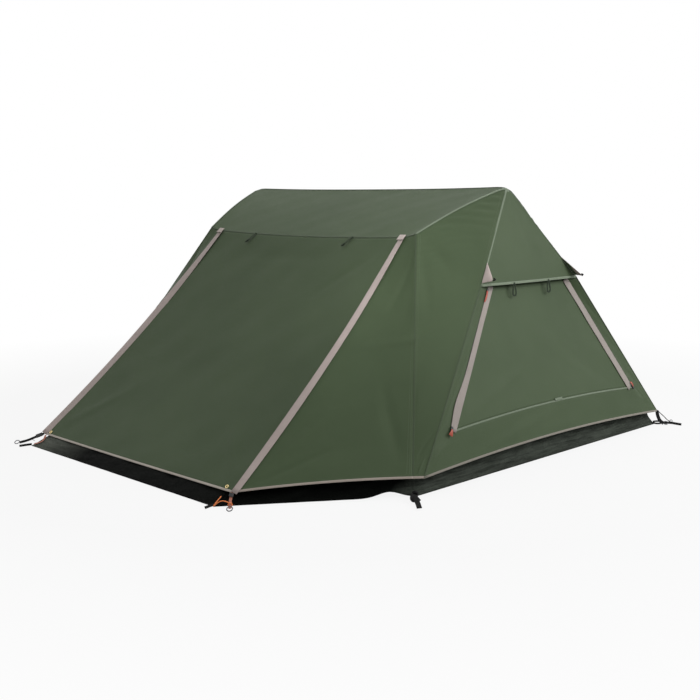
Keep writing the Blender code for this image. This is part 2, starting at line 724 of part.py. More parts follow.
clear_scene()
TENT = new_collection("frame_tent")
TOOLS = new_collection("cutters")
GREEN = new_material("green_cloth", (0.075, 0.105, 0.060), 0.75)
BLACK = new_material("black_floor_cloth", (0.012, 0.013, 0.012), 0.55)
TRIM_GREY = new_material("grey_trim", (0.32, 0.27, 0.25), 0.7)
PULL_RED = new_material("red_pull", (0.55, 0.08, 0.04), 0.5)
TUBE = new_material("coated_tube", (0.18, 0.18, 0.19), 0.4, 0.8)
PLASTIC = new_material("black_plastic", (0.015, 0.015, 0.016), 0.5)
make_floor()
make_fly()
make_doors()
make_pulls()
make_guy_tabs()
make_corner_ties()
make_frame()
bpy.context.view_layer.update()
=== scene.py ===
"""Looks of the frame tent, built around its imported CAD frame: sewn cloth, tapes, zips, webbing and cords.

Metres, +Z up. The ridge runs along X and the awning faces -Y. A side is +1 on the right and -1 on the
left, and an end is -1 at the front and +1 at the back.
"""
import math

import bmesh
import bpy
import numpy as np
from mathutils import Matrix, Vector


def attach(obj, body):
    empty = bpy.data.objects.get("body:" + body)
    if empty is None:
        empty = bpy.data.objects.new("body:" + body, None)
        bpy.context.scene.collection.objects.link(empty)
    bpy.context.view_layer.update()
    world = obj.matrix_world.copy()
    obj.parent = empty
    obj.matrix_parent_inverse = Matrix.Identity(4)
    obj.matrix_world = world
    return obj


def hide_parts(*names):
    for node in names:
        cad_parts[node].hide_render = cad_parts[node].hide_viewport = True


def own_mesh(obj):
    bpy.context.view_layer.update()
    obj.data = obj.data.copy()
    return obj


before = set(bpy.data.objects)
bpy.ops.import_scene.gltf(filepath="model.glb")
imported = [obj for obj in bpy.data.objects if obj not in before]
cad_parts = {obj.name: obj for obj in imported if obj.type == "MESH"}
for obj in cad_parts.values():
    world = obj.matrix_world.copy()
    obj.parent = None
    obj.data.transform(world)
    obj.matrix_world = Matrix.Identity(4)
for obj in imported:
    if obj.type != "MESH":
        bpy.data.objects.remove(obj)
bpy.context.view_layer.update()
SIDES = {"right": 1, "left": -1}
ENDS = {"front": -1, "back": 1}

# The part's own sizes
RIDGE_HEIGHT, RIDGE_HALF, RIDGE_SAG = 1.250, 0.901, 0.010
EAVE_HEIGHT, EAVE_HALF, EAVE_REACH = 1.037, 0.749, 0.476
ZIP_TOP_HALF, ZIP_TOP_HEIGHT, EAVE_SAG = 0.666, 1.021, 0.014
AWNING_FOOT_HALF, AWNING_FOOT_REACH, AWNING_HEM_HEIGHT = 0.738, 1.551, 0.046
CORNER_HALF, CORNER_REACH, HEM_HEIGHT = 1.215, 0.944, 0.079
LEG_PANEL_FOOT = 0.045
HOOD_HALF, HOOD_REACH, HOOD_HEIGHT, HOOD_TIP = 1.049, 0.377, 0.819, 0.006
DOOR_HEAD_HEIGHT, DOOR_HEAD_FRONT, DOOR_HEAD_BACK = 0.806, 0.288, 0.346
DOOR_FOOT_HALF, DOOR_FOOT_FRONT, DOOR_FOOT_BACK, DOOR_FOOT_HEIGHT = 1.192, 0.752, 0.715, 0.233
FLOOR_FRONT_HALF, FLOOR_FRONT_REACH, FLOOR_HALF, FLOOR_REACH = 0.719, 1.630, 1.191, 0.959
WALL_HEIGHT, WALL_LEAN, WALL_FRONT_HEIGHT, WALL_FRONT_LEAN = 0.110, 0.050, 0.050, 0.105
ZIP_FLAP, ZIP_SET_BACK = 0.030, 0.008
PULL_LENGTH, PULL_CLEAR = 0.034, 0.045
GUY_TAB_OUT, GUY_TAB_TURN, GUY_TAB_LIFT = 0.048, 0.016, 0.016

# How the cloth hangs between its seams
RIDGE_CURVE = 2.6
ROOF_BOW, ROOF_BOW_BACK = 0.014, 0.008
ROOF_HOLLOW, PORCH_HOLLOW, BACK_HOLLOW = 0.006, 0.016, 0.014
ZIP_SAG = 0.027
SIDE_HEM_BOW, PORCH_HEM_BOW, BACK_HEM_BOW, SILL_BOW = 0.030, 0.010, 0.020, 0.026
AWNING_HEM_SAG, HOOD_HEM_SAG, HOOD_DROP = 0.003, 0.002, 0.007
COLLAR_PLACE, COLLAR_BUMP, COLLAR_WIDTH = 0.46, 0.007, 0.018
APEX_ROUND, APEX_BLEND, APEX_INSET, APEX_DROP = 0.030, 0.055, 0.023, 0.034
SEAM_FADE, LEG_FADE = 0.05, 0.035
FLOOR_FOOT = 0.0010
FLOOR_LIFT, FLOOR_LIFT_PLACE, FLOOR_LIFT_WIDTH = 0.024, 2.143, 0.062
GUY_TAB_SEWN, GUY_TAB_LONG, GUY_TAB_WIDE, GUY_TAB_DROOP = 0.008, 0.120, 0.06, 0.014

# How each awning flap lies beside its zip, and where it has turned fully
FLAP_SHIFT = {"right": (0.0057, 0.0040, -0.0040), "left": (0.0110, 0.0, 0.0)}
FLAP_LIFT = {"right": 0.0055, "left": 0.0080}
FLAP_TILT = {"right": 0.50, "left": -0.45}
FLAP_SPREAD = {"right": 0.93, "left": 1.08}
FLAP_TURN = 0.40

# Width and thickness of tapes
SEAM, SEAM_BACK, SEAM_HOOD = (0.0105, 0.0030), (0.0105, 0.0016), (0.0095, 0.0022)
SEAM_FELLED, SEAM_EAVE, SEAM_RIDGE = (0.0055, 0.0016), (0.007, 0.0024), (0.010, 0.0024)
HEM, HEM_HOOD, SILL_FOLD = (0.0105, 0.0034), (0.0125, 0.0036), (0.008, 0.0028)
FLAP, FLAP_CAP, COIL = (ZIP_FLAP, 0.0018), (ZIP_FLAP * 1.3, 0.0030), (0.0075, 0.0024)
TOGGLE, SLIDER, AWNING_PULL = (0.008, 0.0050), (0.011, 0.006), (0.007, 0.0024)
GUY_LOOP, BUCKLE = (0.0022, 0.009), (0.018, 0.005)

# Thicknesses of cloth, webbing, cord and wire, and both radii of rings
CLOTH, WEBBING_THICKNESS, CORD, HOOK_WIRE = 0.0010, 0.0018, 0.0042, 0.0026
RING, EYELET, HOOK = (0.0115, 0.0021), (0.0066, 0.0024), (0.006, 0.0018)
WRAP, KNOT = (0.0078, 0.0024), (0.0085, 0.0060)
RING_AXIS = (0.3, -0.5, 0.9)

# Stitches and drag lines in the cloth's paint
STITCH_ROWS, STITCH_HALF, STITCH_LENGTH = (0.0085, 0.0145), 0.0006, 0.0042
PLEAT_LENGTH, PLEAT_SLOPE = 0.044, 0.66

OUT_FRONT = np.array([0.66, -0.66, 0.36])
UPWARD = np.array([0.0, 0.0, 1.0])
FLOOR_CORNERS = np.array([[-FLOOR_FRONT_HALF, -FLOOR_FRONT_REACH], [FLOOR_FRONT_HALF, -FLOOR_FRONT_REACH],
                          [FLOOR_HALF, -FLOOR_REACH], [FLOOR_HALF, FLOOR_REACH],
                          [-FLOOR_HALF, FLOOR_REACH], [-FLOOR_HALF, -FLOOR_REACH]])

# Camera and light. A lamp is its name, place, target, size, power and spread in degrees
CAMERA_FOCUS, PICTURE_WIDTH = 1048.23, 700.0
CAMERA_PLACE = (3.9074, -4.0784, 1.2109)
CAMERA_YAW, CAMERA_PITCH = -0.7823, -0.1465
FLOOR_SPAN, FLOOR_LEVEL = 40.0, -0.001
SKY_LEVEL = 0.585
LAMPS = [("key", (5.2, 2.6, 3.6), (0.6, 0.0, 0.5), 3.0, 245.0, 180.0),
         ("top", (-0.5, 1.5, 6.5), (0.0, 0.0, 0.5), 5.0, 99.0, 180.0),
         ("side", (2.3, -2.1, 2.1), (0.84, -0.62, 0.98), 0.5, 1.6, 36.0)]


def spot(side, end, half, reach, height):
    """A point given once and mirrored to any quarter of the tent."""
    return np.array([side * half, end * reach, height])


def unit(v):
    return v / np.maximum(np.linalg.norm(v, axis=-1, keepdims=True), 1e-12)


def between(a, b, t):
    """The straight blend from a to b at the shares t."""
    return a + (b - a) * np.asarray(t)[..., None]


def ease(x, low, high):
    """Smooth step: 0 below low, 1 above high, 3t^2 - 2t^3 between."""
    t = np.clip((x - low) / (high - low), 0.0, 1.0)
    return t * t * (3 - 2 * t)


def shares(count):
    return np.linspace(0.0, 1.0, count)


def along(points, t):
    """A line of straight stretches at shares t of its whole length."""
    points = np.asarray(points, float)
    steps = np.linalg.norm(np.diff(points, axis=0), axis=1)
    stations = np.concatenate([[0.0], np.cumsum(steps)]) / steps.sum()
    return np.stack([np.interp(t, stations, points[:, k]) for k in range(3)], axis=-1)


def rounded(points, count, rounds=3):
    """A smooth line near the points: corners cut at a quarter of each stretch, over and over."""
    line = np.asarray(points, float)
    for _ in range(rounds):
        part = np.ones(len(line) - 1)
        cuts = [between(line[:-1], line[1:], part * share) for share in (0.25, 0.75)]
        line = np.concatenate([line[:1], np.stack(cuts, axis=1).reshape(-1, 3)[1:-1], line[-1:]])
    return along(line, shares(count))


def apex(side):
    return spot(side, 0, RIDGE_HALF, 0.0, RIDGE_HEIGHT)


def apex_core(side):
    """The middle of the ball that rounds the ridge's end."""
    return apex(side) - np.array([side * APEX_INSET, 0.0, APEX_DROP])


def shoulder(side, end):
    return spot(side, end, EAVE_HALF, EAVE_REACH, EAVE_HEIGHT)


def hem_corner(side, end):
    return spot(side, end, CORNER_HALF, CORNER_REACH, HEM_HEIGHT)


def awning_corner(side):
    return spot(side, -1, AWNING_FOOT_HALF, AWNING_FOOT_REACH, AWNING_HEM_HEIGHT)


def zip_top(side):
    return spot(side, -1, ZIP_TOP_HALF, EAVE_REACH, ZIP_TOP_HEIGHT)


def leg_hem(side, end):
    here = hem_corner(side, end)
    way = awning_corner(side) - here if end < 0 else np.array([-side, 0.0, 0.0])
    way[2] = 0.0
    return here + unit(way) * LEG_PANEL_FOOT


def hood_corner(side, end):
    return spot(side, end, HOOD_HALF, HOOD_REACH, HOOD_HEIGHT)


def door_head(side, end):
    share = (RIDGE_HEIGHT - DOOR_HEAD_HEIGHT) / (RIDGE_HEIGHT - HEM_HEIGHT)
    half = RIDGE_HALF + (CORNER_HALF - RIDGE_HALF) * share
    return spot(side, end, half, DOOR_HEAD_FRONT if end < 0 else DOOR_HEAD_BACK, DOOR_HEAD_HEIGHT)


def door_foot(side, end):
    return spot(side, end, DOOR_FOOT_HALF, DOOR_FOOT_FRONT if end < 0 else DOOR_FOOT_BACK, DOOR_FOOT_HEIGHT)


def bowed(a, b, t, bow, way=(0.0, 0.0, 1.0)):
    """A straight line from a to b, bowed along one way by a parabola that is bow high in the middle."""
    return between(a, b, t) + np.array(way) * (4 * bow * t * (1 - t))[:, None]


def ridge_line(count):
    """Level pole line whose ends rise: height falls by the sag times 1 - |x|^curve."""
    x = np.linspace(-RIDGE_HALF, RIDGE_HALF, count)
    z = RIDGE_HEIGHT - RIDGE_SAG * (1 - np.abs(x / RIDGE_HALF) ** RIDGE_CURVE)
    return np.stack([x, np.zeros(count), z], axis=-1)


def eave_line(end, x):
    """A parabola between the zip tops, and a rising curve from there to each shoulder."""
    inner = np.minimum(np.abs(x) / ZIP_TOP_HALF, 1.0) ** 2
    outer = np.clip((np.abs(x) - ZIP_TOP_HALF) / (EAVE_HALF - ZIP_TOP_HALF), 0.0, 1.0) ** 1.5
    z = ZIP_TOP_HEIGHT - EAVE_SAG * (1 - inner) + (EAVE_HEIGHT - ZIP_TOP_HEIGHT) * outer
    return np.stack([x, np.full_like(x, end * EAVE_REACH), z], axis=-1)


def roof_edge(side, end, t):
    """From the apex to the shoulder, bowed out of the roof over the frame's arm by a sine."""
    out = unit(np.array([0.0, end * (RIDGE_HEIGHT - EAVE_HEIGHT), EAVE_REACH]))
    bow = ROOF_BOW if end < 0 else ROOF_BOW_BACK
    return between(apex(side), shoulder(side, end), t) + out * (bow * np.sin(np.pi * t))[:, None]


def leg_seam(side, end, t):
    """From the shoulder to the hem, straight but for the bump over the leg's collar at the front."""
    out = unit(np.array([side, end, 0.0]))
    bump = (COLLAR_BUMP if end < 0 else 0.0) * np.exp(-(((t - COLLAR_PLACE) / COLLAR_WIDTH) ** 2))
    return between(shoulder(side, end), leg_hem(side, end), t) + out * bump[:, None]


def side_edge(side, end, t):
    """From the apex past the hood's corner to the hem's corner."""
    return along([apex(side), hood_corner(side, end), hem_corner(side, end)], t)


def zip_line(side, t):
    """From the zip's top to the awning's corner, sagging into the tent by a parabola."""
    inward = unit(np.array([0.0, ZIP_TOP_HEIGHT - AWNING_HEM_HEIGHT, EAVE_REACH - AWNING_FOOT_REACH]))
    return bowed(zip_top(side), awning_corner(side), t, ZIP_SAG, inward)


def sill_line(side, t):
    return bowed(door_foot(side, -1), door_foot(side, 1), t, SILL_BOW)


def side_hem(side, t):
    return bowed(hem_corner(side, -1), hem_corner(side, 1), t, SIDE_HEM_BOW)


def blunted(points):
    """Points near each end of the ridge drawn in to a ball, so that the ends are round."""
    for side in SIDES.values():
        core = apex_core(side)
        share = 1 - ease(np.linalg.norm(points - apex(side), axis=-1), 0.0, APEX_BLEND)
        ball = core + unit(points - core) * APEX_ROUND
        points = points + (ball - points) * share[..., None]
    return points


def coons(top, bottom, left, right):
    """A surface from four edges: both straight blends added, less the blend of the four corners."""
    u = shares(len(top))[:, None, None]
    v = shares(len(left))[None, :, None]
    across = (1 - u) * left[None] + u * right[None]
    down = (1 - v) * top[:, None] + v * bottom[:, None]
    corners = (1 - u) * ((1 - v) * top[0] + v * bottom[0]) + u * ((1 - v) * top[-1] + v * bottom[-1])
    return across + down - corners


def facing(grid, core=(0.0, 0.0, 0.45)):
    """Unit normals of a net of points, turned away from the tent's core, and whether they were turned."""
    out = unit(np.cross(np.gradient(grid, axis=0), np.gradient(grid, axis=1)))
    turned = np.sum(out * (grid - np.array(core))) < 0
    return (-out if turned else out), turned


def spans(grid):
    """Each point's distance along both ways of the net, in metres, by the mean length of its lines."""
    wide = np.linalg.norm(np.diff(grid, axis=0), axis=2).sum(0).mean()
    tall = np.linalg.norm(np.diff(grid, axis=1), axis=2).sum(1).mean()
    n, m = grid.shape[:2]
    return np.meshgrid(shares(n) * wide, shares(m) * tall, indexing="ij")


def rim_of(grid):
    """Each point's distance to the net's nearest border."""
    u, v = spans(grid)
    return np.minimum(np.minimum(u, u.max() - u), np.minimum(v, v.max() - v))


def net_faces(n, m, turned, around, ring):
    """Four corners of each cell of an n by m net. Around closes the first way on itself, ring the second."""
    number = np.arange(n * m).reshape(n, m)
    number = np.concatenate([number, number[:1]]) if around else number
    number = np.concatenate([number, number[:, :1]], axis=1) if ring else number
    corners = [number[:-1, :-1], number[1:, :-1], number[1:, 1:], number[:-1, 1:]]
    quads = np.stack(corners, axis=-1).reshape(-1, 4)
    return quads[:, ::-1] if turned else quads


def net_mesh(name, grid, material, turned=False, around=False, ring=False, caps=(), rim=None):
    """An object from a net of points, with a UV map in metres and, for cloth, the rim distance. Rows named
    in caps are closed by one face, and a net that is a ring gets its faces turned outwards."""
    n, m = grid.shape[:2]
    faces = net_faces(n, m, turned, around, ring).tolist()
    faces += np.arange(n * m).reshape(n, m)[list(caps)].tolist()
    mesh = bpy.data.meshes.new(name)
    mesh.from_pydata(grid.reshape(-1, 3).tolist(), [], faces)
    u, v = spans(grid)
    loops = np.empty(len(mesh.loops), np.int32)
    mesh.loops.foreach_get("vertex_index", loops)
    uv = np.stack([u.ravel(), v.ravel()], axis=-1)[loops].astype(np.float32)
    mesh.uv_layers.new(name="cut").data.foreach_set("uv", uv.ravel())
    if rim is not None:
        mesh.attributes.new("rim", "FLOAT", "POINT").data.foreach_set("value", rim.ravel().astype(np.float32))
    if ring:
        shape = bmesh.new()
        shape.from_mesh(mesh)
        bmesh.ops.recalc_face_normals(shape, faces=shape.faces)
        shape.to_mesh(mesh)
        shape.free()
    mesh.polygons.foreach_set("use_smooth", np.ones(len(mesh.polygons), bool))
    mesh.materials.append(material)
    made = bpy.data.objects.new(name, mesh)
    bpy.context.scene.collection.objects.link(made)
    return made


def sweep(name, path, lift, profile, material):
    """A closed profile of (across, up) points carried along a path, with its up along lift."""
    path = np.asarray(path, float)
    lift = np.broadcast_to(np.asarray(lift, float), path.shape)
    way = unit(np.gradient(path, axis=0))
    across = unit(np.cross(way, lift))
    up = np.cross(across, way)
    profile = np.asarray(profile)
    if profile.ndim == 2:
        profile = np.broadcast_to(profile, (len(path),) + profile.shape)
    grid = path[:, None] + across[:, None] * profile[..., :1] + up[:, None] * profile[..., 1:]
    return net_mesh(name, grid, material, ring=True, caps=(0, -1))


def tape_profile(width, thickness, steps=16):
    """A flat strip with soft edges: a superellipse |x|^4 + |y|^4 = 1 scaled to the strip."""
    turn = 2 * np.pi * np.arange(steps) / steps
    c, s = np.cos(turn), np.sin(turn)
    x = np.sign(c) * np.sqrt(np.abs(c)) * width / 2
    y = np.sign(s) * np.sqrt(np.abs(s)) * thickness / 2
    return np.stack([x, y], axis=-1)


def round_profile(diameter, steps=10):
    turn = 2 * np.pi * np.arange(steps) / steps
    return np.stack([np.cos(turn), np.sin(turn)], axis=-1) * diameter / 2


class Socket:
    """A node's output. Sums, differences and products of it add Math nodes to its material."""

    def __init__(self, paint, link):
        self.paint = paint
        self.link = link

    def math(self, operation, first, second=0.0):
        return self.paint.node("ShaderNodeMath", {"operation": operation}, {0: first, 1: second})

    def __add__(self, other):
        return self.math("ADD", self, other)

    __radd__ = __add__

    def __sub__(self, other):
        return self.math("SUBTRACT", self, other)

    def __rsub__(self, other):
        return self.math("SUBTRACT", other, self)

    def __mul__(self, other):
        return self.math("MULTIPLY", self, other)

    def sine(self):
        return self.math("SINE", self)

    def absolute(self):
        return self.math("ABSOLUTE", self)

    def below(self, limit):
        return self.math("LESS_THAN", self, limit)

    def above(self, limit):
        return self.math("GREATER_THAN", self, limit)

    def clipped(self):
        return self.math("MINIMUM", self.math("MAXIMUM", self, 0.0), 1.0)


class Paint:
    """One material with a Principled shader. Constants are set on the shader, the rest is linked."""

    def __init__(self, name, **constants):
        self.material = bpy.data.materials.new(name)
        self.material.use_nodes = True
        self.tree = self.material.node_tree
        self.shader = self.tree.nodes["Principled BSDF"]
        for socket, value in constants.items():
            self.shader.inputs[socket.replace("_", " ")].default_value = value

    def node(self, kind, settings=None, inputs=None, out=0):
        made = self.tree.nodes.new(kind)
        for key, value in (settings or {}).items():
            setattr(made, key, value)
        for key, value in (inputs or {}).items():
            if isinstance(value, Socket):
                self.tree.links.new(value.link, made.inputs[key])
            else:
                made.inputs[key].default_value = value
        return Socket(self, made.outputs[out])

    def feed(self, socket, value):
        self.tree.links.new(value.link, self.shader.inputs[socket])

    def place(self):
        return self.node("ShaderNodeTexCoord", out="Object")

    def cut(self):
        """The two ways of the cloth in metres, as two values."""
        uv = self.node("ShaderNodeUVMap", {"uv_map": "cut"})
        return tuple(self.node("ShaderNodeSeparateXYZ", None, {0: uv}, k) for k in (0, 1))

    def noise(self, vector, scale, detail=3.0, rough=0.55):
        inputs = {"Vector": vector, "Scale": scale, "Detail": detail, "Roughness": rough}
        return self.node("ShaderNodeTexNoise", None, inputs)

    def stretched(self, vector, scale):
        return self.node("ShaderNodeVectorMath", {"operation": "MULTIPLY"}, {0: vector, 1: scale})

    def mix(self, share, first, second):
        """A colour between two: the share is a value, the colours are tuples or sockets."""
        colours = [c if isinstance(c, Socket) else (*c, 1.0) for c in (first, second)]
        settings = {"data_type": "RGBA"}
        return self.node("ShaderNodeMix", settings, {0: share, 6: colours[0], 7: colours[1]}, 2)

    def bump(self, height, distance, strength=1.0):
        self.feed("Normal", self.node(
            "ShaderNodeBump", None, {"Strength": strength, "Distance": distance, "Height": height}))


def cloth_paint(name, dark, light, thread, pitch=0.0011, gloss=0.60, pleats=0.0):
    """Coated cloth: a plain weave of two crossed sines, broad mottling, fine crinkles and a double row
    of stitches at its rim. Pleats are level drag lines under the panel's upper edge, as high as given."""
    paint = Paint(name, Sheen_Weight=0.02, Sheen_Roughness=0.5, Specular_IOR_Level=0.17)
    place = paint.place()
    u, v = paint.cut()
    turns = 2 * math.pi / pitch
    weave = (u * turns).sine() * (v * turns).sine()
    broad = paint.noise(place, 2.6, 4.0)
    fine = paint.noise(place, 38.0, 3.0, 0.6)
    rim = paint.node("ShaderNodeAttribute", {"attribute_name": "rim"}, None, "Fac")
    first, second = ((rim - row).absolute().below(STITCH_HALF) for row in STITCH_ROWS)
    dashes = ((u + v) * (2 * math.pi / STITCH_LENGTH)).sine().above(-0.3)
    stitch = ((first + second) * dashes).clipped()
    shade = (broad * 1.3 - 0.15 + (fine - 0.5) * 0.30 + weave * 0.05).clipped()
    worn = 1.0 - (rim * 60.0).clipped()
    cloth = paint.mix(shade, dark, light)
    cloth = paint.mix(worn * 0.22, cloth, light)
    paint.feed("Base Color", paint.mix(stitch * 0.55, cloth, thread))
    paint.feed("Roughness", gloss + (fine - 0.5) * 0.16 + stitch * 0.15)
    relief = weave * 0.10 + fine * 0.9 + stitch * 0.5 + broad * 0.8
    if pleats:
        drift = (paint.noise(place, 5.0, 2.0) - 0.5) * 0.08
        lines = ((v - u * PLEAT_SLOPE + drift) * (2 * math.pi / PLEAT_LENGTH)).sine()
        fade = (1.0 - v * 3.0).clipped() * (v * 40.0).clipped()
        relief = relief + lines * fade * pleats
    paint.bump(relief, 0.0012, 0.55)
    return paint.material


def tape_paint(name, dark, light, pitch=0.0016, rough=0.72):
    """Woven tape: slanting twill lines, a darker edge fleck and a little soiling."""
    paint = Paint(name, Sheen_Weight=0.15, Specular_IOR_Level=0.25)
    place = paint.place()
    u, v = paint.cut()
    turns = 2 * math.pi / pitch
    twill = ((u + v * 0.6) * turns).sine()
    soil = paint.noise(place, 9.0, 4.0)
    fleck = paint.noise(place, 260.0, 2.0)
    shade = (soil * 0.8 + fleck * 0.35 + twill * 0.12 - 0.05).clipped()
    paint.feed("Base Color", paint.mix(shade, dark, light))
    paint.feed("Roughness", rough + (fleck - 0.5) * 0.2)
    paint.bump(twill * 0.5 + fleck * 0.5, 0.0004, 0.6)
    return paint.material


def floor_paint(name):
    """Coated floor cloth: nearly black, with long crumpled creases that catch the light, and painted sheen:
    grey streaks on the side walls and a paler streaky patch near the front-left corner.
    """
    paint = Paint(name, Specular_IOR_Level=0.02)
    place = paint.place()
    u, v = paint.cut()
    turns = 2 * math.pi / 0.0014
    weave = (u * turns).sine() * (v * turns).sine()
    crumple = paint.noise(paint.stretched(place, (1.0, 1.0, 2.6)), 13.0, 5.0, 0.62)
    dust = paint.noise(place, 5.0, 4.0)
    streak = paint.noise(paint.stretched(place, (3.0, 3.0, 60.0)), 1.6, 5.0, 0.7)
    across = paint.node("ShaderNodeSeparateXYZ", None, {0: place}, 0).absolute()
    # Painted sheen: grey streaks on the walls more than 1.125 m to either side of the middle
    side_wall_sheen = ((across - 1.125) * 30.0).clipped() * (streak * 2.2 - 0.35).clipped()
    left, ahead = (paint.node("ShaderNodeSeparateXYZ", None, {0: place}, k) * -1.0 for k in (0, 1))
    # Painted sheen: a paler streaky patch on the front wall near its left corner
    front_left_sheen = ((left - 0.30) * 2.4).clipped() * ((ahead - 1.50) * 20.0).clipped() * (streak * 1.4).clipped()
    shade = (dust * 0.7 + crumple * 0.6 - 0.2).clipped()
    black = paint.mix(shade, (0.0008, 0.001, 0.0008), (0.005, 0.006, 0.005))
    # Painted sheen colours laid over the black cloth: grey on the side walls, paler at the front-left corner
    grey = paint.mix(side_wall_sheen, black, (0.064, 0.074, 0.061))
    paint.feed("Base Color", paint.mix(front_left_sheen, grey, (0.155, 0.168, 0.142)))
    paint.feed("Roughness", 0.36 + crumple * 0.26)
    paint.bump(crumple + weave * 0.02, 0.020, 0.9)
    return paint.material


def webbing_paint(name, dark, light, rough=0.6):
    """Woven webbing: ribs across its length and a herringbone between them."""
    paint = Paint(name, Specular_IOR_Level=0.12)
    place = paint.place()
    u, v = paint.cut()
    ribs = (u * (2 * math.pi / 0.0018)).sine()
    bone = ((u + v.absolute() * 1.5) * (2 * math.pi / 0.0031)).sine()
    fleck = paint.noise(place, 190.0, 2.0)
    shade = (0.35 + ribs * 0.2 + bone * 0.15 + (fleck - 0.5) * 0.6).clipped()
    paint.feed("Base Color", paint.mix(shade, dark, light))
    paint.feed("Roughness", rough + (fleck - 0.5) * 0.2)
    paint.bump(ribs * 0.6 + bone * 0.4, 0.0005, 0.7)
    return paint.material


def metal_paint(name, dull, bright, rough):
    """Bare metal with fine brushing and darker tarnish in patches."""
    paint = Paint(name, Metallic=1.0)
    place = paint.place()
    tarnish = paint.noise(place, 70.0, 4.0)
    brush = paint.noise(paint.stretched(place, (1.0, 1.0, 8.0)), 420.0, 2.0)
    paint.feed("Base Color", paint.mix((tarnish * 1.2 - 0.1).clipped(), dull, bright))
    paint.feed("Roughness", rough + (brush - 0.5) * 0.2)
    paint.bump(brush, 0.0002, 0.3)
    return paint.material


def plastic_paint(name, dark, light, rough=0.5, metallic=0.0):
    """Moulded plastic or powder coat: a fine orange-peel grain and a few rubbed patches."""
    paint = Paint(name, Metallic=metallic, Specular_IOR_Level=0.45)
    place = paint.place()
    grain = paint.noise(place, 900.0, 2.0)
    rubbed = paint.noise(place, 26.0, 5.0)
    paint.feed("Base Color", paint.mix((rubbed * 1.4 - 0.3).clipped(), dark, light))
    paint.feed("Roughness", rough + (rubbed - 0.5) * 0.25)
    paint.bump(grain, 0.0002, 0.4)
    return paint.material


FLY_TONES = ((0.041, 0.063, 0.029), (0.057, 0.083, 0.041), (0.11, 0.14, 0.09))
FLY_GREEN = cloth_paint("fly_green", *FLY_TONES)
LEG_GREEN = cloth_paint("leg_green", *FLY_TONES, pleats=1.4)
SEAM_DARK = tape_paint("seam_dark", (0.033, 0.051, 0.024), (0.050, 0.072, 0.036))
# Pale tape: its own green brightened by painted highlight, where the raised tapes catch the light
SEAM_GREEN = tape_paint("seam_green", (0.105, 0.135, 0.088), (0.165, 0.205, 0.142))
TIE_GREEN = webbing_paint("tie_green", (0.010, 0.016, 0.009), (0.030, 0.045, 0.026))
TIE_OLIVE = webbing_paint("tie_olive", (0.022, 0.033, 0.018), (0.055, 0.076, 0.044))
ZIP_GREY = tape_paint("zip_grey", (0.31, 0.255, 0.235), (0.45, 0.38, 0.355))
SIDE_GREY = tape_paint("side_grey", (0.220, 0.190, 0.172), (0.320, 0.285, 0.260))
# A darker, browner copy of the guy tabs' grey tape: painted shade for the back tabs' inner faces
TAB_SHADED = tape_paint("tab_shaded", (0.150, 0.120, 0.104), (0.220, 0.178, 0.156))
CAP_GREY = tape_paint("cap_grey", (0.36, 0.30, 0.275), (0.50, 0.43, 0.40))
# One beige binding in three tones: as it is, a lighter copy for the awning as painted light, and a darker
# copy for the sides as painted shade
HEM_BEIGE = tape_paint("hem_beige", (0.23, 0.195, 0.165), (0.35, 0.305, 0.265))
HEM_PAINTED_LIT = tape_paint("hem_painted_lit", (0.32, 0.285, 0.245), (0.47, 0.425, 0.375))
HEM_PAINTED_SHADE = tape_paint("hem_painted_shade", (0.165, 0.152, 0.125), (0.250, 0.232, 0.198))
COIL_BLACK = webbing_paint("coil_black", (0.006, 0.008, 0.006), (0.028, 0.034, 0.026), 0.45)
FLOOR_BLACK = floor_paint("floor_black")
STRAP_BLACK = webbing_paint("strap_black", (0.004, 0.004, 0.004), (0.018, 0.018, 0.018))
STRAP_PEACH = webbing_paint("strap_peach", (0.36, 0.13, 0.09), (0.58, 0.27, 0.20))
CORD_ORANGE = webbing_paint("cord_orange", (0.72, 0.17, 0.05), (0.92, 0.36, 0.14))
PULL_RED = plastic_paint("pull_red", (0.26, 0.035, 0.018), (0.42, 0.075, 0.033), 0.45)
BRASS = metal_paint("brass", (0.55, 0.40, 0.16), (0.90, 0.76, 0.42), 0.30)
STEEL = metal_paint("steel", (0.05, 0.05, 0.055), (0.16, 0.16, 0.17), 0.34)
TUBE_COAT = plastic_paint("tube_coat", (0.10, 0.10, 0.105), (0.17, 0.17, 0.175), 0.42, 0.35)
HUB_BLACK = plastic_paint("hub_black", (0.012, 0.012, 0.013), (0.035, 0.035, 0.036), 0.5)
PANELS = {}


def fold_down(piece, body):
    """A soft piece that rides its body, with a mesh of its own."""
    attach(piece, body)
    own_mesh(piece)
    return piece


def tape(name, path, lift, size, material, body="root", swell=None):
    """A soft-edged strip, (width, thickness) in size, whose width is multiplied by swell along the path."""
    profile = tape_profile(*size)
    if swell is not None:
        profile = profile[None] * np.stack([swell, np.ones_like(swell)], -1)[:, None]
    return fold_down(sweep(name, path, lift, profile, material), body)


def strap(name, points, width, lift, material, thick=WEBBING_THICKNESS, body="root"):
    """Webbing along a smooth line near the points."""
    return tape(name, rounded(points, 37), lift, (width, thick), material, body)


def thicken(piece, thickness, offset=-1.0):
    """Gives a net of cloth its thickness: outwards at offset 1, both ways at 0, inwards at -1."""
    wall = piece.modifiers.new("thickness", "SOLIDIFY")
    wall.thickness = thickness
    wall.offset = offset


def creased(grid, creases):
    """Heights of creases, each a straight line from (u0, v0) to (u1, v1) in shares of the panel, with a
    bell profile as wide as given and a depth that fades to both ends by a sine."""
    u, v = spans(grid)
    wide, tall = u.max(), v.max()
    total = np.zeros_like(u)
    for u0, v0, u1, v1, width, depth in creases:
        du, dv = (u1 - u0) * wide, (v1 - v0) * tall
        length = math.hypot(du, dv)
        x, y = u - u0 * wide, v - v0 * tall
        run = np.clip((x * du + y * dv) / length**2, 0.0, 1.0)
        off = (x * dv - y * du) / length
        total += depth * np.exp(-((off / width) ** 2)) * np.sin(np.pi * run)
    return total


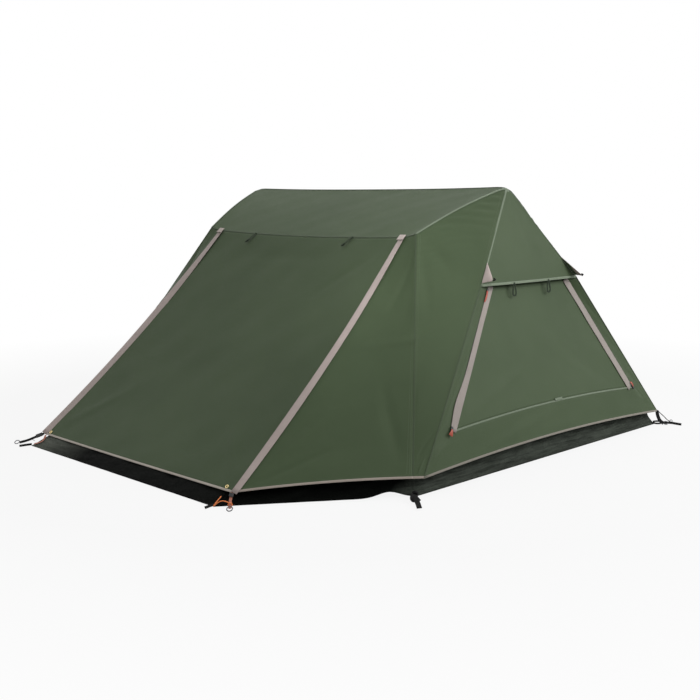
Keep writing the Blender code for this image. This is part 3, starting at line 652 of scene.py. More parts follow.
def slack(grid, seed, height, waves=7):
    """Soft unevenness of the cloth: a sum of sine waves 0.12 to 0.45 m long in seeded directions."""
    chance = np.random.default_rng(seed)
    u, v = spans(grid)
    turn = chance.uniform(0, np.pi, waves)
    length = chance.uniform(0.12, 0.45, waves)
    phase = chance.uniform(0, 2 * np.pi, waves)
    ways = u[..., None] * np.cos(turn) + v[..., None] * np.sin(turn)
    return height * np.sin(2 * np.pi * ways / length + phase).sum(-1) / math.sqrt(waves)


def panel(name, node, top, bottom, left, right, body="root", hollow=0.0, creases=(), seed=1, loose=0.0009,
          fade=SEAM_FADE, material=FLY_GREEN):
    """Cloth sewn between four edges: a Coons surface, hollowed by two sines, with creases and slack that
    fade out towards the seams."""
    grid = coons(top, bottom, left, right)
    out, turned = facing(grid)
    rim = rim_of(grid)
    u, v = shares(len(top))[:, None], shares(len(left))[None]
    belly = -hollow * np.sin(np.pi * u) * np.sin(np.pi * v)
    relief = (creased(grid, creases) + slack(grid, seed, loose)) * ease(rim, 0.0, fade)
    grid = blunted(grid + out * (belly + relief)[..., None])
    return cloth_piece(name, node, grid, turned, rim, body, material)


def cloth_piece(name, node, grid, turned, rim, body, material=FLY_GREEN):
    """A net of cloth with its thickness."""
    PANELS[name] = (grid, facing(grid)[0])
    piece = net_mesh(name, grid, material, turned=turned, rim=rim)
    thicken(piece, CLOTH, 1.0)
    fold_down(piece, body)
    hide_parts(node)
    cells = np.cross(grid[1:, :-1] - grid[:-1, :-1], grid[:-1, 1:] - grid[:-1, :-1])
    return piece


def make_fly():
    """Roof, leg panels, porch sides and back wall. Neighbours share the points of their common seam."""
    across, down, short = 121, 121, 61
    x = np.linspace(-EAVE_HALF, EAVE_HALF, across)
    t, slope = shares(down), shares(short)
    starts = 0.08 + 0.085 * np.arange(10)
    folds = [(u, 0.004, 0.97, 0.19 * (1 - u), 0.011, 0.0034 * (-1) ** k) for k, u in enumerate(starts)]
    folds += [(0.02, 0.02, 0.55, 0.30, 0.02, -0.004), (0.02, 0.03, 0.25, 0.45, 0.02, -0.003),
              (0.3, 0.99, 0.7, 0.94, 0.010, 0.0035), (0.2, 0.93, 0.9, 0.86, 0.012, -0.003)]
    for end_name, end in ENDS.items():
        panel(f"fly_roof_{end_name}", f"roof_{end_name}", ridge_line(across), eave_line(end, x),
              roof_edge(-1, end, slope), roof_edge(1, end, slope), hollow=ROOF_HOLLOW, seed=3 + end)
        for side_name, side in SIDES.items():
            label = f"{end_name}_{side_name}"
            panel(f"fly_leg_{label}", f"leg_panel_{label}", roof_edge(side, end, slope)[::-1],
                  between(leg_hem(side, end), hem_corner(side, end), slope), leg_seam(side, end, t),
                  side_edge(side, end, t), creases=folds, seed=11 + side + 2 * end, fade=LEG_FADE,
                  material=LEG_GREEN)
    for side_name, side in SIDES.items():
        head = eave_line(-1, np.linspace(side * ZIP_TOP_HALF, side * EAVE_HALF, short))
        hem = bowed(awning_corner(side), leg_hem(side, -1), slope, PORCH_HEM_BOW)
        folds = [(0.02, 0.97, 0.35, 0.70, 0.018, 0.006), (0.05, 0.99, 0.5, 0.86, 0.014, -0.005),
                 (0.97, 0.98, 0.70, 0.60, 0.02, -0.005), (0.98, 0.04, 0.5, 0.35, 0.03, -0.004)]
        panel(f"fly_porch_{side_name}", f"vestibule_side_{side_name}", head, hem, zip_line(side, t),
              leg_seam(side, -1, t), hollow=PORCH_HOLLOW, creases=folds, seed=21 + side)
    hem = bowed(leg_hem(-1, 1), leg_hem(1, 1), shares(across), BACK_HEM_BOW)
    folds = [(0.01, 0.02, 0.3, 0.35, 0.03, -0.004), (0.99, 0.02, 0.7, 0.35, 0.03, -0.004),
             (0.01, 0.98, 0.2, 0.7, 0.02, 0.005), (0.99, 0.98, 0.8, 0.7, 0.02, 0.005)]
    panel("fly_back_wall", "back_wall", eave_line(1, x), hem, leg_seam(-1, 1, t), leg_seam(1, 1, t),
          hollow=BACK_HOLLOW, creases=folds, seed=31)


def make_sides():
    """Hood, cloth round the door, and the door itself, on each side."""
    t, rows, wide = shares(41), shares(15), shares(51)
    for side_name, side in SIDES.items():
        low = [hood_corner(side, end) - UPWARD * HOOD_DROP for end in (-1, 1)]
        tip = [apex(side) + (p - apex(side)) * HOOD_TIP for p in low]
        edges = [between(tip[k], low[k], t) for k in (0, 1)]
        folds = [(0.5, 0.05, 0.35, 0.9, 0.03, -0.002), (0.52, 0.05, 0.7, 0.9, 0.03, -0.002)]
        panel(f"fly_hood_{side_name}", f"hood_{side_name}", between(tip[0], tip[1], wide),
              bowed(low[0], low[1], wide, -HOOD_HEM_SAG), *edges, creases=folds, seed=41 + side)
        jambs = [between(door_head(side, end), door_foot(side, end), t) for end in (-1, 1)]
        inner = np.concatenate([jambs[0][:-1], sill_line(side, t)[:-1],
                                between(door_foot(side, 1), door_head(side, 1), t)])
        corners = [hem_corner(side, end) for end in (-1, 1)]
        ears = [low[k] + (corners[k] - low[k]) * 0.002 for k in (0, 1)]
        outer = np.concatenate([between(ears[0], corners[0], t)[:-1], side_hem(side, t)[:-1],
                                between(corners[1], ears[1], t)])
        grid = between(outer[:, None], inner[:, None], rows[None])
        out, turned = facing(grid)
        rim = rim_of(grid)
        relief = slack(grid, 51 + side, 0.0010) + creased(
            grid, [(0.30, 0.0, 0.36, 1.0, 0.02, 0.004), (0.64, 0.05, 0.70, 1.0, 0.02, -0.004),
                   (0.4, 0.1, 0.52, 0.9, 0.03, 0.003), (0.12, 0.9, 0.30, 0.1, 0.02, -0.004)])
        grid = grid + out * (relief * ease(rim, 0.0, SEAM_FADE))[..., None]
        cloth_piece(f"fly_side_{side_name}", f"side_surround_{side_name}", grid, turned, rim, "root")
        head = between(door_head(side, -1), door_head(side, 1), wide)
        folds = [(0.05, 0.95, 0.45, 0.6, 0.03, 0.003), (0.9, 0.95, 0.6, 0.5, 0.03, -0.003),
                 (0.1, 0.1, 0.3, 0.6, 0.03, -0.002)]
        panel(f"door_cloth_{side_name}", f"side_door_{side_name}", head, sill_line(side, wide), *jambs,
              body=f"side_door_{side_name}", creases=folds, seed=61 + side)


def make_awning():
    """The front panel between its two zips."""
    x = np.linspace(-ZIP_TOP_HALF, ZIP_TOP_HALF, 111)
    t = shares(91)
    hem = bowed(awning_corner(-1), awning_corner(1), shares(111), -AWNING_HEM_SAG)
    folds = [(0.04, 0.03, 0.30, 0.30, 0.03, -0.003), (0.96, 0.03, 0.72, 0.28, 0.03, -0.003),
             (0.03, 0.97, 0.25, 0.72, 0.03, 0.004), (0.97, 0.97, 0.78, 0.74, 0.03, 0.004),
             (0.2, 0.10, 0.8, 0.09, 0.04, -0.003)]
    panel("awning_cloth", "awning", eave_line(-1, x), hem, zip_line(-1, t), zip_line(1, t), body="awning",
          creases=folds, seed=71, loose=0.0012)


def awning_face():
    """The awning's outward normal at its middle."""
    return unit(PANELS["awning_cloth"][1][55, 45])


def seam_tape(name, path, lift, size=SEAM, material=SEAM_GREEN):
    """A tape that lies on the cloth along a seam."""
    path = np.asarray(path) + np.asarray(lift) * CLOTH
    return tape(name, path, lift, size, material)


def make_seams():
    """Tapes over the roof's and the hood's edges, and the felled seams of the eaves and legs."""
    for side_name, side in SIDES.items():
        column = -1 if side > 0 else 0
        hood, hood_out = PANELS[f"fly_hood_{side_name}"]
        for end_name, end in ENDS.items():
            label = f"{end_name}_{side_name}"
            front = end < 0
            roof, roof_out = PANELS[f"fly_roof_{end_name}"]
            leg, leg_out = PANELS[f"fly_leg_{label}"]
            # Painted highlight: the front arm tapes are pale, while the same tapes at the back keep a darker
            # tone near the cloth's
            look = (SEAM, SEAM_GREEN) if front else (SEAM_BACK, SEAM_DARK)
            seam_tape(f"seam_arm_{label}", roof[column], unit(roof_out[column] + leg_out[::-1, 0]), *look)
            border = 0 if front else -1
            over = hood_out[border, 1:] * front + leg_out[-1, 20]
            aside = unit(leg[-2, 20] - leg[-1, 20]) * (0.004 * (not front))
            seam_tape(f"seam_hood_{label}", hood[border, 1:] + aside, unit(over), SEAM_HOOD)
            beside = PANELS[f"fly_porch_{side_name}"][1][-1] if front else PANELS["fly_back_wall"][1][column]
            seam_tape(f"seam_leg_{label}", leg[0], unit(leg_out[0] + beside), SEAM_FELLED, SEAM_DARK)
            edge_out = unit(leg_out[-1] + np.array([side * 0.966, 0.0, 0.259]))
            seam_tape(f"seam_edge_{label}", leg[-1, 46:], edge_out[46:], SEAM_FELLED, SEAM_DARK)
    for end_name, end in ENDS.items():
        roof, roof_out = PANELS[f"fly_roof_{end_name}"]
        wall_out = PANELS["awning_cloth"][1][55, 0] if end < 0 else PANELS["fly_back_wall"][1][60, 0]
        lift = unit(roof_out[:, -1] + wall_out)
        seam_tape(f"seam_eave_{end_name}", roof[:, -1], lift, SEAM_EAVE, SEAM_DARK)
    seam_tape("seam_ridge", PANELS["fly_roof_front"][0][:, 0], UPWARD, SEAM_RIDGE, SEAM_DARK)


def hem_tape(name, panel_name, body="root", part=slice(None), row=-1, material=HEM_BEIGE):
    """Binding folded over a panel's lower edge."""
    grid, out = PANELS[panel_name]
    edge, inner = grid[part, row], grid[part, row - 1 if row < 0 else row + 1]
    path = edge + unit(inner - edge) * (HEM[0] * 0.32) + out[part, row] * (CLOTH / 2)
    return tape(name, path, out[part, row], HEM, material, body)


def make_hems():
    """Bindings along every lower edge, beige at the ground and green at the hoods. The awning's binding is
    painted lighter, as painted light, and the sides' darker, as painted shade.
    """
    hem_tape("hem_awning", "awning_cloth", "awning", material=HEM_PAINTED_LIT)
    hem_tape("hem_back", "fly_back_wall")
    for side_name in SIDES:
        hem_tape(f"hem_porch_{side_name}", f"fly_porch_{side_name}")
        hem_tape(f"hem_side_{side_name}", f"fly_side_{side_name}", part=slice(40, 81), row=0,
                 material=HEM_PAINTED_SHADE)
        for end_name in ENDS:
            hem_tape(f"hem_leg_{end_name}_{side_name}", f"fly_leg_{end_name}_{side_name}")
        grid, out = PANELS[f"fly_hood_{side_name}"]
        band = grid[:, -1] + UPWARD * (HEM[0] * 0.3) + out[:, -1] * CLOTH
        tape(f"hem_hood_{side_name}", band, out[:, -1], HEM_HOOD, SEAM_GREEN)


def make_awning_zips():
    """A flap over each awning zip with a stitched cap at its top, and the zip's coil beside it. The flap
    lies in the awning's plane at its top and turns by its tilt further down."""
    plane = awning_face()
    t, s = shares(60), shares(9)
    turned = ease(t, 0.0, FLAP_TURN)[:, None]
    level = np.array([1.0, 0.0, 0.0])
    for side_name, side in SIDES.items():
        inward = np.array([-side, 0.0, 0.0])
        seam = zip_line(side, t)
        lean = unit(plane - inward * (FLAP_TILT[side_name] * turned))
        shift = FLAP_SHIFT[side_name] * (level + (1.0 - level) * turned)
        path = seam + shift + lean * FLAP_LIFT[side_name]
        swell = FLAP_SPREAD[side_name] + 0.10 * np.sin(np.pi * t) + 0.06 * np.sin(9.0 * t + side)
        flap = tape(f"awning_flap_{side_name}", path, lean, FLAP, ZIP_GREY, "awning", swell)
        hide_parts(f"awning_zip_{side_name}")
        tape(f"awning_coil_{side_name}", seam + inward * 0.003 + plane * CLOTH, plane, COIL, COIL_BLACK,
             "awning")
        top = between(path[0], path[1], s * 1.35 - 0.25) + lean[0] * (0.0026 + 0.0040 * s)[:, None]
        tape(f"awning_cap_{side_name}", top, lean[0], FLAP_CAP, CAP_GREY, "awning")


def make_side_zips():
    """Flaps down both sides of each side door, a stitched fold along its sill, and the zip's coil."""
    for side_name in SIDES:
        grid, out = PANELS[f"door_cloth_{side_name}"]
        body = f"side_door_{side_name}"
        for end_name, end in ENDS.items():
            label = f"{end_name}_{side_name}"
            front = end < 0
            column, beside = (0, 1) if front else (-1, -2)
            edge, face = grid[column], unit(out[column])
            inner = unit(grid[beside] - edge)
            low = np.exp(-(((shares(len(edge)) - 0.84) / 0.13) ** 2)) * front
            swell = (1.0 + 0.40 * low) * (1.0 if front else 1.5)
            reach = ZIP_SET_BACK * 0.4 + ZIP_FLAP * 0.46 - 0.010 * low + 0.008 * (not front)
            flap = tape(f"side_flap_{label}", edge + inner * reach[:, None] + face * 0.0034,
                        unit(face - inner * 0.06), FLAP, SIDE_GREY, body, swell)
            if front:
                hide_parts(f"side_zip_{side_name}")
            tape(f"side_coil_{label}", edge + face * CLOTH - inner * 0.001, face, COIL, COIL_BLACK, body)
        edge, face = grid[:, -1], unit(out[:, -1])
        tape(f"side_sill_{side_name}", edge + face * CLOTH, face, SILL_FOLD, SEAM_GREEN, body)
        tab = edge[26:29] + face[26:29] * 0.003 + UPWARD * 0.007
        strap(f"sill_tab_{side_name}", tab, 0.012, face[27], SEAM_GREEN, 0.0026, body)


def make_guy_tabs():
    """A triangular tab out of each hood corner, slightly curled, with a webbing loop at its tip. A dark green
    sheet over the inner rows of each tab is painted shade on its inner face.
    """
    t, s = shares(13), shares(9)
    curl = 0.004 * np.sin(np.pi * t)[:, None] * np.sin(np.pi * s)[None]
    turn = np.linspace(-0.5 * np.pi, 0.5 * np.pi, 17)
    for side_name, side in SIDES.items():
        for end_name, end in ENDS.items():
            label = f"{end_name}_{side_name}"
            rise = unit(apex(side) - hood_corner(side, end))
            lift = GUY_TAB_LIFT - GUY_TAB_DROOP * (end > 0)
            out = np.array([side * GUY_TAB_OUT, -end * GUY_TAB_TURN, lift])
            way, normal = unit(out), unit(np.cross(out, rise))
            low = hood_corner(side, end) + rise * GUY_TAB_SEWN
            root = [low + rise * GUY_TAB_LONG + way * 0.001, low + way * 0.001]
            tip = [low + out + rise * 0.006, low + out - rise * 0.006]
            grid = coons(between(root[0], tip[0], t), between(root[1], tip[1], t),
                         between(root[0], root[1], s), between(tip[0], tip[1], s)) + normal * curl[..., None]
            # Painted shade: the back tabs take the darker, browner copy of the front tabs' tape
            look = ZIP_GREY if end < 0 else TAB_SHADED
            piece = net_mesh(f"guy_tab_cloth_{label}", grid, look, rim=rim_of(grid))
            thicken(piece, 0.0014, 0.0)
            fold_down(piece, "root")
            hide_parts(f"guy_tab_{label}")
            # Painted shade: a sheet of the fly's dark green over the tab's inner rows stands for the shadow
            # on its inner face
            shade_net = grid[:7] + normal * (side * end * 0.0016)
            shade_sheet = net_mesh(f"guy_shade_sheet_{label}", shade_net, FLY_GREEN, rim=rim_of(shade_net))
            thicken(shade_sheet, 0.0008, 0.0)
            fold_down(shade_sheet, "root")
            loop = low + out + way * (0.004 + 0.010 * np.cos(turn))[:, None]
            loop = loop + rise * (0.005 * np.sin(turn))[:, None]
            tape(f"guy_loop_{label}", loop, normal, GUY_LOOP, STRAP_BLACK)


def raised(run, total):
    """How far the tub's edge is pulled off the ground: a bell beside each middle corner on the porch's
    side, lower on the left."""
    bells = [(FLOOR_LIFT_PLACE, FLOOR_LIFT), (total - FLOOR_LIFT_PLACE, 0.6 * FLOOR_LIFT)]
    return sum(height * np.exp(-(((run - place) / FLOOR_LIFT_WIDTH) ** 2)) for place, height in bells)


def round_edges(values, t):
    """Values given at the corners of an outline, blended along each edge at the shares t."""
    ahead = np.roll(values, -1, axis=0)
    return between(values[:, None], ahead[:, None], t[None]).reshape(-1, values.shape[1])


def make_floor_wall():
    """The tub's wall, gathered at its corners and creased along its runs by sums of sines."""
    count = 150
    t = np.arange(count) / count
    rows = shares(13)
    front = np.abs(FLOOR_CORNERS[:, 1]) > FLOOR_REACH + 1e-6
    lean = np.stack([np.full(6, WALL_LEAN), np.where(front, WALL_FRONT_LEAN, WALL_LEAN)], axis=-1)
    tall = np.where(front, WALL_FRONT_HEIGHT, WALL_HEIGHT)[:, None]
    low = round_edges(FLOOR_CORNERS, t)
    high = round_edges(FLOOR_CORNERS - np.sign(FLOOR_CORNERS) * lean, t)
    edge = np.roll(FLOOR_CORNERS, -1, axis=0) - FLOOR_CORNERS
    out = unit(np.stack([edge[:, 1], -edge[:, 0]], axis=-1)).repeat(count, axis=0)
    length = np.linalg.norm(edge, axis=1)
    place = (t[None] * length[:, None]).ravel()
    left = ((1 - t)[None] * length[:, None]).ravel()
    near = np.exp(-np.minimum(place, left) / 0.06)[:, None]
    run = np.concatenate([[0.0], np.cumsum(length)[:-1]]).repeat(count) + place
    chance = np.random.default_rng(91)
    waves = [chance.uniform(least, most, 9) for least, most in ((0.05, 0.32), (-0.8, 0.8), (0.6, 1.6))]
    ripple = np.zeros((len(run), len(rows)))
    for wave, tilt, size in zip(*waves):
        ripple += size * 0.0016 * np.sin(2 * np.pi * (run[:, None] / wave + rows[None] * tilt * 2.2))
    gather = 0.0045 * near * np.sin(2 * np.pi * run[:, None] / 0.017 + 2.0 * rows[None])
    push = (ripple + gather) * np.sin(np.pi * np.clip(rows, 0.0, 0.93))[None]
    push = push + 0.010 * np.sin(np.pi * rows) * (1 - near)
    flat = between(low[:, None], high[:, None], rows[None]) + out[:, None] * push[..., None]
    foot = (FLOOR_FOOT + raised(run, length.sum()))[:, None]
    height = foot * (1 - rows)[None] + round_edges(tall, t) * rows[None]
    grid = np.concatenate([flat, height[..., None]], axis=-1)
    piece = net_mesh("floor_wall_cloth", grid.transpose(1, 0, 2), FLOOR_BLACK, ring=True)
    thicken(piece, CLOTH)
    fold_down(piece, "root")
    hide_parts("floor_wall")


def make_groundsheet():
    """The floor's sheet: rings of the outline drawn towards its middle, with shallow wrinkles."""
    closed = np.vstack([FLOOR_CORNERS, FLOOR_CORNERS[:1]])
    steps = shares(361)
    outline = along(np.column_stack([closed, np.zeros(len(closed))]), steps)[:-1]
    total = float(np.linalg.norm(np.diff(closed, axis=0), axis=1).sum())
    rows = shares(40) * 0.985
    middle = np.array([0.0, -0.2, 0.0])
    grid = outline[None] + (middle - outline[None]) * rows[:, None, None]
    x, y = grid[..., 0], grid[..., 1]
    wave = 0.0008 * np.sin(21.0 * x + 9.0 * y) * np.sin(13.0 * y - 5.0 * x)
    inward = rows[:, None] * np.linalg.norm(outline - middle, axis=1)[None]
    lift = raised(steps[:-1] * total, total)[None] * np.exp(-inward / 0.08)
    grid[..., 2] = 0.0018 + wave * ease(rows, 0.0, 0.1)[:, None] + lift
    piece = net_mesh("groundsheet_cloth", grid, FLOOR_BLACK, turned=True, ring=True, caps=(-1,))
    thicken(piece, CLOTH, 0.0)
    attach(piece, "root")
    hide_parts("groundsheet")


def torus(name, centre, axis, radii, material, body="root", wide=28, steps=10):
    """A ring: a circle of the second radius carried round a circle of the first one about the axis."""
    major, minor = radii
    axis = unit(np.asarray(axis, float))
    first = unit(np.cross(axis, [0.31, 0.87, 0.38]))
    second = np.cross(axis, first)
    u = (2 * np.pi * np.arange(wide) / wide)[:, None, None]
    v = (2 * np.pi * np.arange(steps) / steps)[None, :, None]
    spoke = first * np.cos(u) + second * np.sin(u)
    grid = np.asarray(centre) + spoke * (major + minor * np.cos(v)) + axis * (minor * np.sin(v))
    return fold_down(net_mesh(name, grid, material, around=True, ring=True), body)


def free_cord(name, points, lift, material):
    """A cord along a smooth line near the points."""
    path = rounded(points, 49)
    piece = fold_down(sweep(name, path, lift, round_profile(CORD), material), "root")


def make_apex_caps():
    """A stitched patch over each end of the ridge: part of a ball about the same core as the cloth's."""
    polar = np.linspace(0.04, 0.62, 14)[:, None, None]
    turn = (2 * np.pi * np.arange(36) / 36)[None, :, None]
    for side_name, side in SIDES.items():
        core = apex_core(side)
        axis = unit(apex(side) - core)
        second = np.array([0.0, 1.0, 0.0])
        first = np.cross(second, axis)
        ways = axis * np.cos(polar) + (first * np.cos(turn) + second * np.sin(turn)) * np.sin(polar)
        grid = core + ways * (APEX_ROUND + 0.0026)
        # The patch's pale tape colour is partly painted highlight on the ridge's round end
        cap = net_mesh(f"apex_cap_{side_name}", grid, SEAM_GREEN, ring=True, caps=(0, -1))
        fold_down(cap, "root")


def make_ties():
    """Ties for the rolled awning and doors: toggled tabs under the eave, loops under each hood."""
    face = awning_face()
    down = unit(awning_corner(1) - zip_top(1)) * np.array([0.0, 1.0, 1.0])
    for label, x, lean, drop in (("left", -0.365, -0.020, 0.068), ("right", 0.350, -0.022, 0.064)):
        top = eave_line(-1, np.array([x]))[0] + face * 0.006
        run = down * drop + np.array([lean, 0.0, 0.0])
        points = [top, top + run * 0.5 + face * 0.004, top + run]
        strap(f"awning_tie_{label}", points, 0.012, face, TIE_OLIVE, 0.0030)
        toggle = between(top + run * 0.80, top + run * 1.08, shares(7)) + face * 0.004
        tape(f"awning_toggle_{label}", toggle, face, TOGGLE, TIE_GREEN)
    shape = np.array([(0.004, -0.001, 0.0), (0.006, -0.009, -0.024), (0.008, -0.012, -0.050),
                      (0.008, -0.007, -0.059), (0.008, 0.008, -0.059), (0.008, 0.012, -0.050),
                      (0.006, 0.008, -0.024), (0.004, 0.002, 0.0)])
    for side_name, side in SIDES.items():
        for label, y in (("front", -0.135), ("back", 0.140)):
            hem = np.array([side * (HOOD_HALF - 0.001), y, HOOD_HEIGHT - HOOD_DROP + 0.002])
            points = hem + shape * np.array([side, 1.1, 1.0])
            strap(f"door_tie_{label}_{side_name}", points, 0.0085, (side, 0.0, 0.1), TIE_GREEN,
                  0.0026)


def make_eyelets():
    """A brass eyelet in each lower corner of the awning."""
    face = awning_face()
    for side_name, side in SIDES.items():
        up = unit(zip_top(side) - awning_corner(side))
        centre = awning_corner(side) + np.array([-side * 0.047, 0.0, 0.0]) + up * 0.017
        torus(f"eyelet_{side_name}", centre + face * (CLOTH + 0.0008), face, EYELET, BRASS, body="awning")


def make_pulls():
    """Zip pulls: a slider on each side zip with a tab of tape that widens or narrows to its end, and a plain
    black tab on each awning zip."""
    s = shares(13)
    for side_name, side in SIDES.items():
        out = unit(np.array([side * (RIDGE_HEIGHT - HEM_HEIGHT), 0.0, CORNER_HALF - RIDGE_HALF]))
        head, foot = door_head(side, -1), door_foot(side, -1)
        heel, crown = door_foot(side, 1), door_head(side, 1)
        down, climb = unit(foot - head), unit(crown - heel)
        ahead = np.array([0.0, -1.0, 0.0])
        pulls = {"upper": (head + down * 0.030 + ahead * 0.006, down, 0.060, 0.010, 0.007),
                 "lower": (foot - down * 0.014 + ahead * 0.004, down, 0.030, 0.008, 0.024),
                 "back": (heel + climb * 0.004, climb, 0.030, 0.008, 0.012)}
        for label, (place, way, length, broad, narrow) in pulls.items():
            name = f"side_pull_{label}_{side_name}"
            path = place + way * (length * s)[:, None] + out * (0.0085 + 0.003 * np.sin(np.pi * s))[:, None]
            wide = np.interp(s, [0.0, 1.0], [broad, narrow])
            tab = tape(f"{name}_tab", path, out, (1.0, 0.0026), PULL_RED, name, wide)
            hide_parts(name)
            body = place + way * np.linspace(-0.012, 0.004, 5)[:, None] + out * 0.006
            tape(f"{name}_slider", body, out, SLIDER, HUB_BLACK, name)
        name = f"awning_pull_{side_name}"
        front_out = unit(awning_face() + np.array([side, 0.0, 0.0]))
        length = np.linalg.norm(zip_top(side) - awning_corner(side))
        path = zip_line(side, 1 - (PULL_CLEAR + PULL_LENGTH * shares(9)) / length) + front_out * 0.0005
        tab = tape(f"{name}_tab", path, front_out, AWNING_PULL, STRAP_BLACK, name)
        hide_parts(name)


def make_front_corners():
    """Webbing, ring and floor tab at each front corner, and the cords and hook that only one of them has, as
    each lies in the photograph."""
    ties = {"right": [(0.741, -1.561, 0.030), (0.757, -1.578, 0.013), (0.797, -1.611, 0.006)],
            "left": [(0.757, -1.584, 0.032), (0.778, -1.616, 0.016), (0.801, -1.650, 0.007)]}
    tabs = {"right": [(0.719, -1.628, 0.009), (0.722, -1.645, 0.010), (0.720, -1.674, 0.006)],
            "left": [(0.716, -1.630, 0.009), (0.722, -1.650, 0.009), (0.738, -1.684, 0.006)]}
    for side_name, side in SIDES.items():
        mirror = np.array([side, 1.0, 1.0])
        points = np.array([awning_corner(1), *ties[side_name]]) * mirror
        look = STRAP_PEACH if side > 0 else STRAP_BLACK
        tie = strap(f"tie_strap_front_{side_name}", points, 0.012, OUT_FRONT, look)
        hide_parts(f"corner_tie_front_{side_name}")
        ring_at = points[-1] + unit(np.array([side, -1.0, 0.25])) * 0.012
        torus(f"ring_front_{side_name}", ring_at, RING_AXIS, RING, STEEL)
        tab = np.array(tabs[side_name]) * mirror
        strap(f"floor_tab_front_{side_name}", tab, 0.011, OUT_FRONT, STRAP_BLACK)
        buckle = between(points[0], points[1], np.linspace(0.15, 0.95, 7)) + OUT_FRONT * 0.004
        tape(f"buckle_front_{side_name}", buckle, OUT_FRONT, BUCKLE, HUB_BLACK)
    elastic = [(0.768, -1.588, 0.016), (0.767, -1.605, 0.027), (0.756, -1.620, 0.031), (0.743, -1.634, 0.020),
               (0.736, -1.646, 0.008)]
    free_cord("elastic_front_right", elastic, UPWARD, CORD_ORANGE)
    tail = [(0.737, -1.644, 0.012), (0.731, -1.622, 0.024), (0.718, -1.592, 0.034)]
    free_cord("elastic_tail_right", tail, UPWARD, CORD_ORANGE)
    torus("elastic_wrap_right", (0.772, -1.590, 0.011), (0.75, -0.62, -0.2), WRAP, CORD_ORANGE,
          wide=20, steps=8)
    loop = [(-0.706, -1.560, 0.044), (-0.683, -1.580, 0.033), (-0.672, -1.601, 0.024),
            (-0.688, -1.618, 0.017), (-0.700, -1.626, 0.013)]
    strap("loop_front_left", loop, 0.011, (0.0, -0.43, 0.9), STRAP_PEACH)
    wire = [(-0.752, -1.556, 0.040), (-0.796, -1.560, 0.022), (-0.786, -1.590, 0.014),
            (-0.756, -1.600, 0.018), (-0.730, -1.607, 0.021)]
    fold_down(sweep("hook_front_left", rounded(wire, 33), UPWARD, round_profile(HOOK_WIRE), STEEL), "root")


def make_back_corners():
    """Webbing, ring, floor loop and elastic cord at each back corner, and the tab at each middle corner."""
    straps = {
        "tie_strap_back": (0.019, [(1.215, 0.944, 0.079), (1.214, 0.952, 0.055), (1.220, 0.968, 0.022),
                                   (1.234, 0.984, 0.008)]),
        "floor_loop_back": (0.009, [(1.186, 0.958, 0.014), (1.204, 0.974, 0.018), (1.232, 0.990, 0.014),
                                    (1.226, 0.968, 0.008), (1.205, 0.948, 0.008), (1.188, 0.944, 0.012)]),
        "floor_tab_back": (0.013, [(1.232, 0.988, 0.010), (1.262, 1.008, 0.012), (1.290, 1.018, 0.009),
                                   (1.314, 1.028, 0.007)]),
        "floor_tab_middle": (0.021, [(1.191, -0.958, 0.014), (1.215, -0.998, 0.030), (1.244, -1.030, 0.020),
                                     (1.290, -1.066, 0.014), (1.322, -1.094, 0.008)]),
        "floor_tab_fold": (0.019, [(1.196, -0.968, 0.014), (1.222, -1.016, 0.032), (1.240, -1.048, 0.014),
                                   (1.246, -1.020, 0.009), (1.236, -0.996, 0.009)])}
    thicker = {"floor_loop_back": 0.003}
    replaced = {"tie_strap_back": "corner_tie_back", "floor_tab_middle": "floor_tail"}
    cord = np.array([(1.216, 0.944, 0.082), (1.215, 0.985, 0.058), (1.212, 1.030, 0.034),
                     (1.218, 1.056, 0.012), (1.230, 1.064, 0.005)])
    ring_at = np.array([1.242, 0.993, 0.010])
    hook_at = np.array([1.234, 1.067, 0.008])
    knot_at, knot_axis = np.array([1.222, -1.006, 0.027]), np.array([0.62, -0.75, -0.2])
    for side_name, side in SIDES.items():
        mirror = np.array([side, 1.0, 1.0])
        near = OUT_FRONT * mirror
        for name, (width, points) in straps.items():
            lift = near + UPWARD * 0.2 if name == "floor_tab_middle" else near
            piece = strap(f"{name}_{side_name}", np.array(points) * mirror, width, lift, STRAP_BLACK,
                          thicker.get(name, WEBBING_THICKNESS))
            if name in replaced:
                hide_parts(f"{replaced[name]}_{side_name}")
        torus(f"ring_back_{side_name}", ring_at * mirror, RING_AXIS, RING, STEEL)
        hook = torus(f"hook_back_{side_name}", hook_at * mirror, near, HOOK, STEEL, wide=20, steps=8)
        free_cord(f"elastic_back_{side_name}", cord * mirror, (0.3, 0.2, 1.0), STRAP_BLACK)
        torus(f"floor_knot_{side_name}", knot_at * mirror, knot_axis * mirror, KNOT, STRAP_BLACK,
              wide=20, steps=8)


def dress_frame():
    """Finishes on the rigid parts of the frame."""
    finish = {"ridge_pole": TUBE_COAT, "arm_": TUBE_COAT, "upper_leg": TUBE_COAT, "lower_leg": TUBE_COAT,
              "hub_": HUB_BLACK, "leg_button": PULL_RED}
    for name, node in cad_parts.items():
        for start, material in finish.items():
            if name.startswith(start):
                node.data.materials.clear()
                node.data.materials.append(material)


def direct_rays(tree):
    """1 for what is seen straight, in a mirror or through glass, and 0 for light on other things."""
    path = tree.nodes.new("ShaderNodeLightPath")
    share = path.outputs["Is Camera Ray"]
    for ray in ("Is Glossy Ray", "Is Transmission Ray"):
        either = tree.nodes.new("ShaderNodeMath")
        either.operation = "MAXIMUM"
        tree.links.new(share, either.inputs[0])
        tree.links.new(path.outputs[ray], either.inputs[1])
        share = either.outputs[0]
    return share


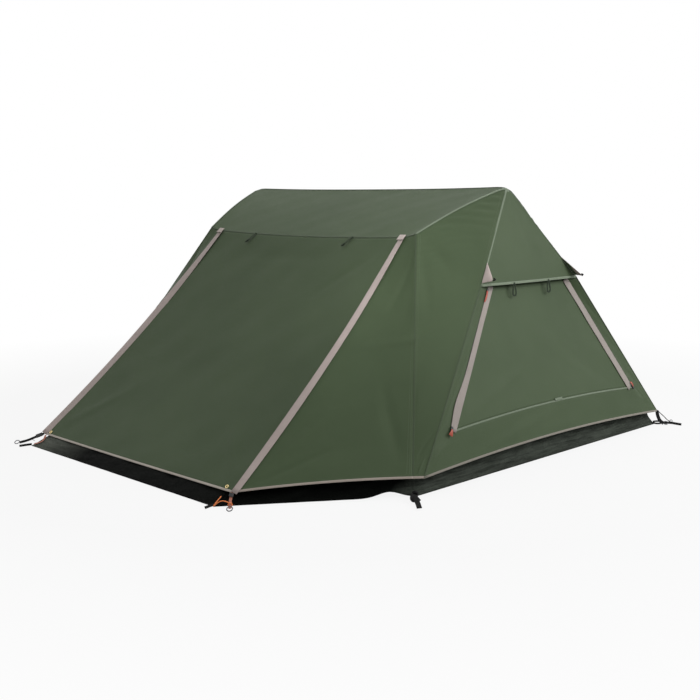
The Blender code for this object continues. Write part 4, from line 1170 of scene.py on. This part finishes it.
def floor_white():
    """Matt pale floor. To the camera it is mostly plain white, so that only a soft shadow shows on it."""
    paint = Paint("floor_white", Roughness=1.0, Base_Color=(0.52, 0.52, 0.52, 1.0), Specular_IOR_Level=0.0)
    glow = paint.tree.nodes.new("ShaderNodeEmission")
    blend = paint.tree.nodes.new("ShaderNodeMixShader")
    share = Socket(paint, direct_rays(paint.tree))
    spread = paint.node("ShaderNodeVectorMath", {"operation": "LENGTH"}, {0: paint.place()}, "Value")
    far = ((spread - 2.2) * 0.5).clipped()
    paint.tree.links.new((share * (0.88 + far * 0.12)).link, blend.inputs[0])
    paint.tree.links.new(paint.shader.outputs[0], blend.inputs[1])
    paint.tree.links.new(glow.outputs[0], blend.inputs[2])
    paint.tree.links.new(blend.outputs[0], paint.tree.nodes["Material Output"].inputs["Surface"])
    return paint.material


def make_surroundings():
    """A pale floor, and a sky that looks white but lights the tent at its own level."""
    corners = np.meshgrid([-FLOOR_SPAN, FLOOR_SPAN], [-FLOOR_SPAN, FLOOR_SPAN], [FLOOR_LEVEL], indexing="ij")
    net_mesh("floor", np.stack(corners, -1)[:, :, 0], floor_white())
    world = bpy.data.worlds.new("studio")
    bpy.context.scene.world = world
    world.use_nodes = True
    tree = world.node_tree
    back = tree.nodes["Background"]
    level = tree.nodes.new("ShaderNodeMix")
    level.inputs[2].default_value = SKY_LEVEL
    level.inputs[3].default_value = 1.0
    tree.links.new(direct_rays(tree), level.inputs[0])
    tree.links.new(level.outputs[0], back.inputs["Strength"])
    back.inputs["Color"].default_value = (1.0, 1.0, 1.0, 1.0)


def make_lamps():
    """Soft lamps, each aimed at its target, with its beam as wide as its spread in degrees."""
    for name, place, target, size, power, spread in LAMPS:
        lamp = bpy.data.lights.new(name, "AREA")
        lamp.size = size
        lamp.energy = power
        lamp.spread = math.radians(spread)
        made = bpy.data.objects.new(name, lamp)
        made.location = place
        made.rotation_euler = (Vector(target) - Vector(place)).to_track_quat("-Z", "Y").to_euler()
        bpy.context.scene.collection.objects.link(made)


def make_camera():
    """The camera where the photograph was taken, level from side to side."""
    scene = bpy.context.scene
    camera = bpy.data.cameras.new("camera")
    camera.sensor_width = 36.0
    camera.lens = CAMERA_FOCUS * camera.sensor_width / PICTURE_WIDTH
    camera.clip_end = 200.0
    eye = bpy.data.objects.new("camera", camera)
    flat = math.cos(CAMERA_PITCH)
    ahead = Vector((math.sin(CAMERA_YAW) * flat, math.cos(CAMERA_YAW) * flat, math.sin(CAMERA_PITCH)))
    right = Vector((math.cos(CAMERA_YAW), -math.sin(CAMERA_YAW), 0.0))
    turn = Matrix((right, right.cross(ahead), -ahead)).transposed().to_4x4()
    eye.matrix_world = Matrix.Translation(CAMERA_PLACE) @ turn
    scene.collection.objects.link(eye)
    scene.camera = eye
    scene.view_settings.view_transform = "Standard"


make_surroundings()
make_lamps()
make_camera()
make_fly()
make_sides()
make_awning()
make_seams()
make_hems()
make_awning_zips()
make_side_zips()
make_guy_tabs()
make_floor_wall()
make_groundsheet()
make_apex_caps()
make_ties()
make_eyelets()
make_pulls()
make_front_corners()
make_back_corners()
dress_frame()
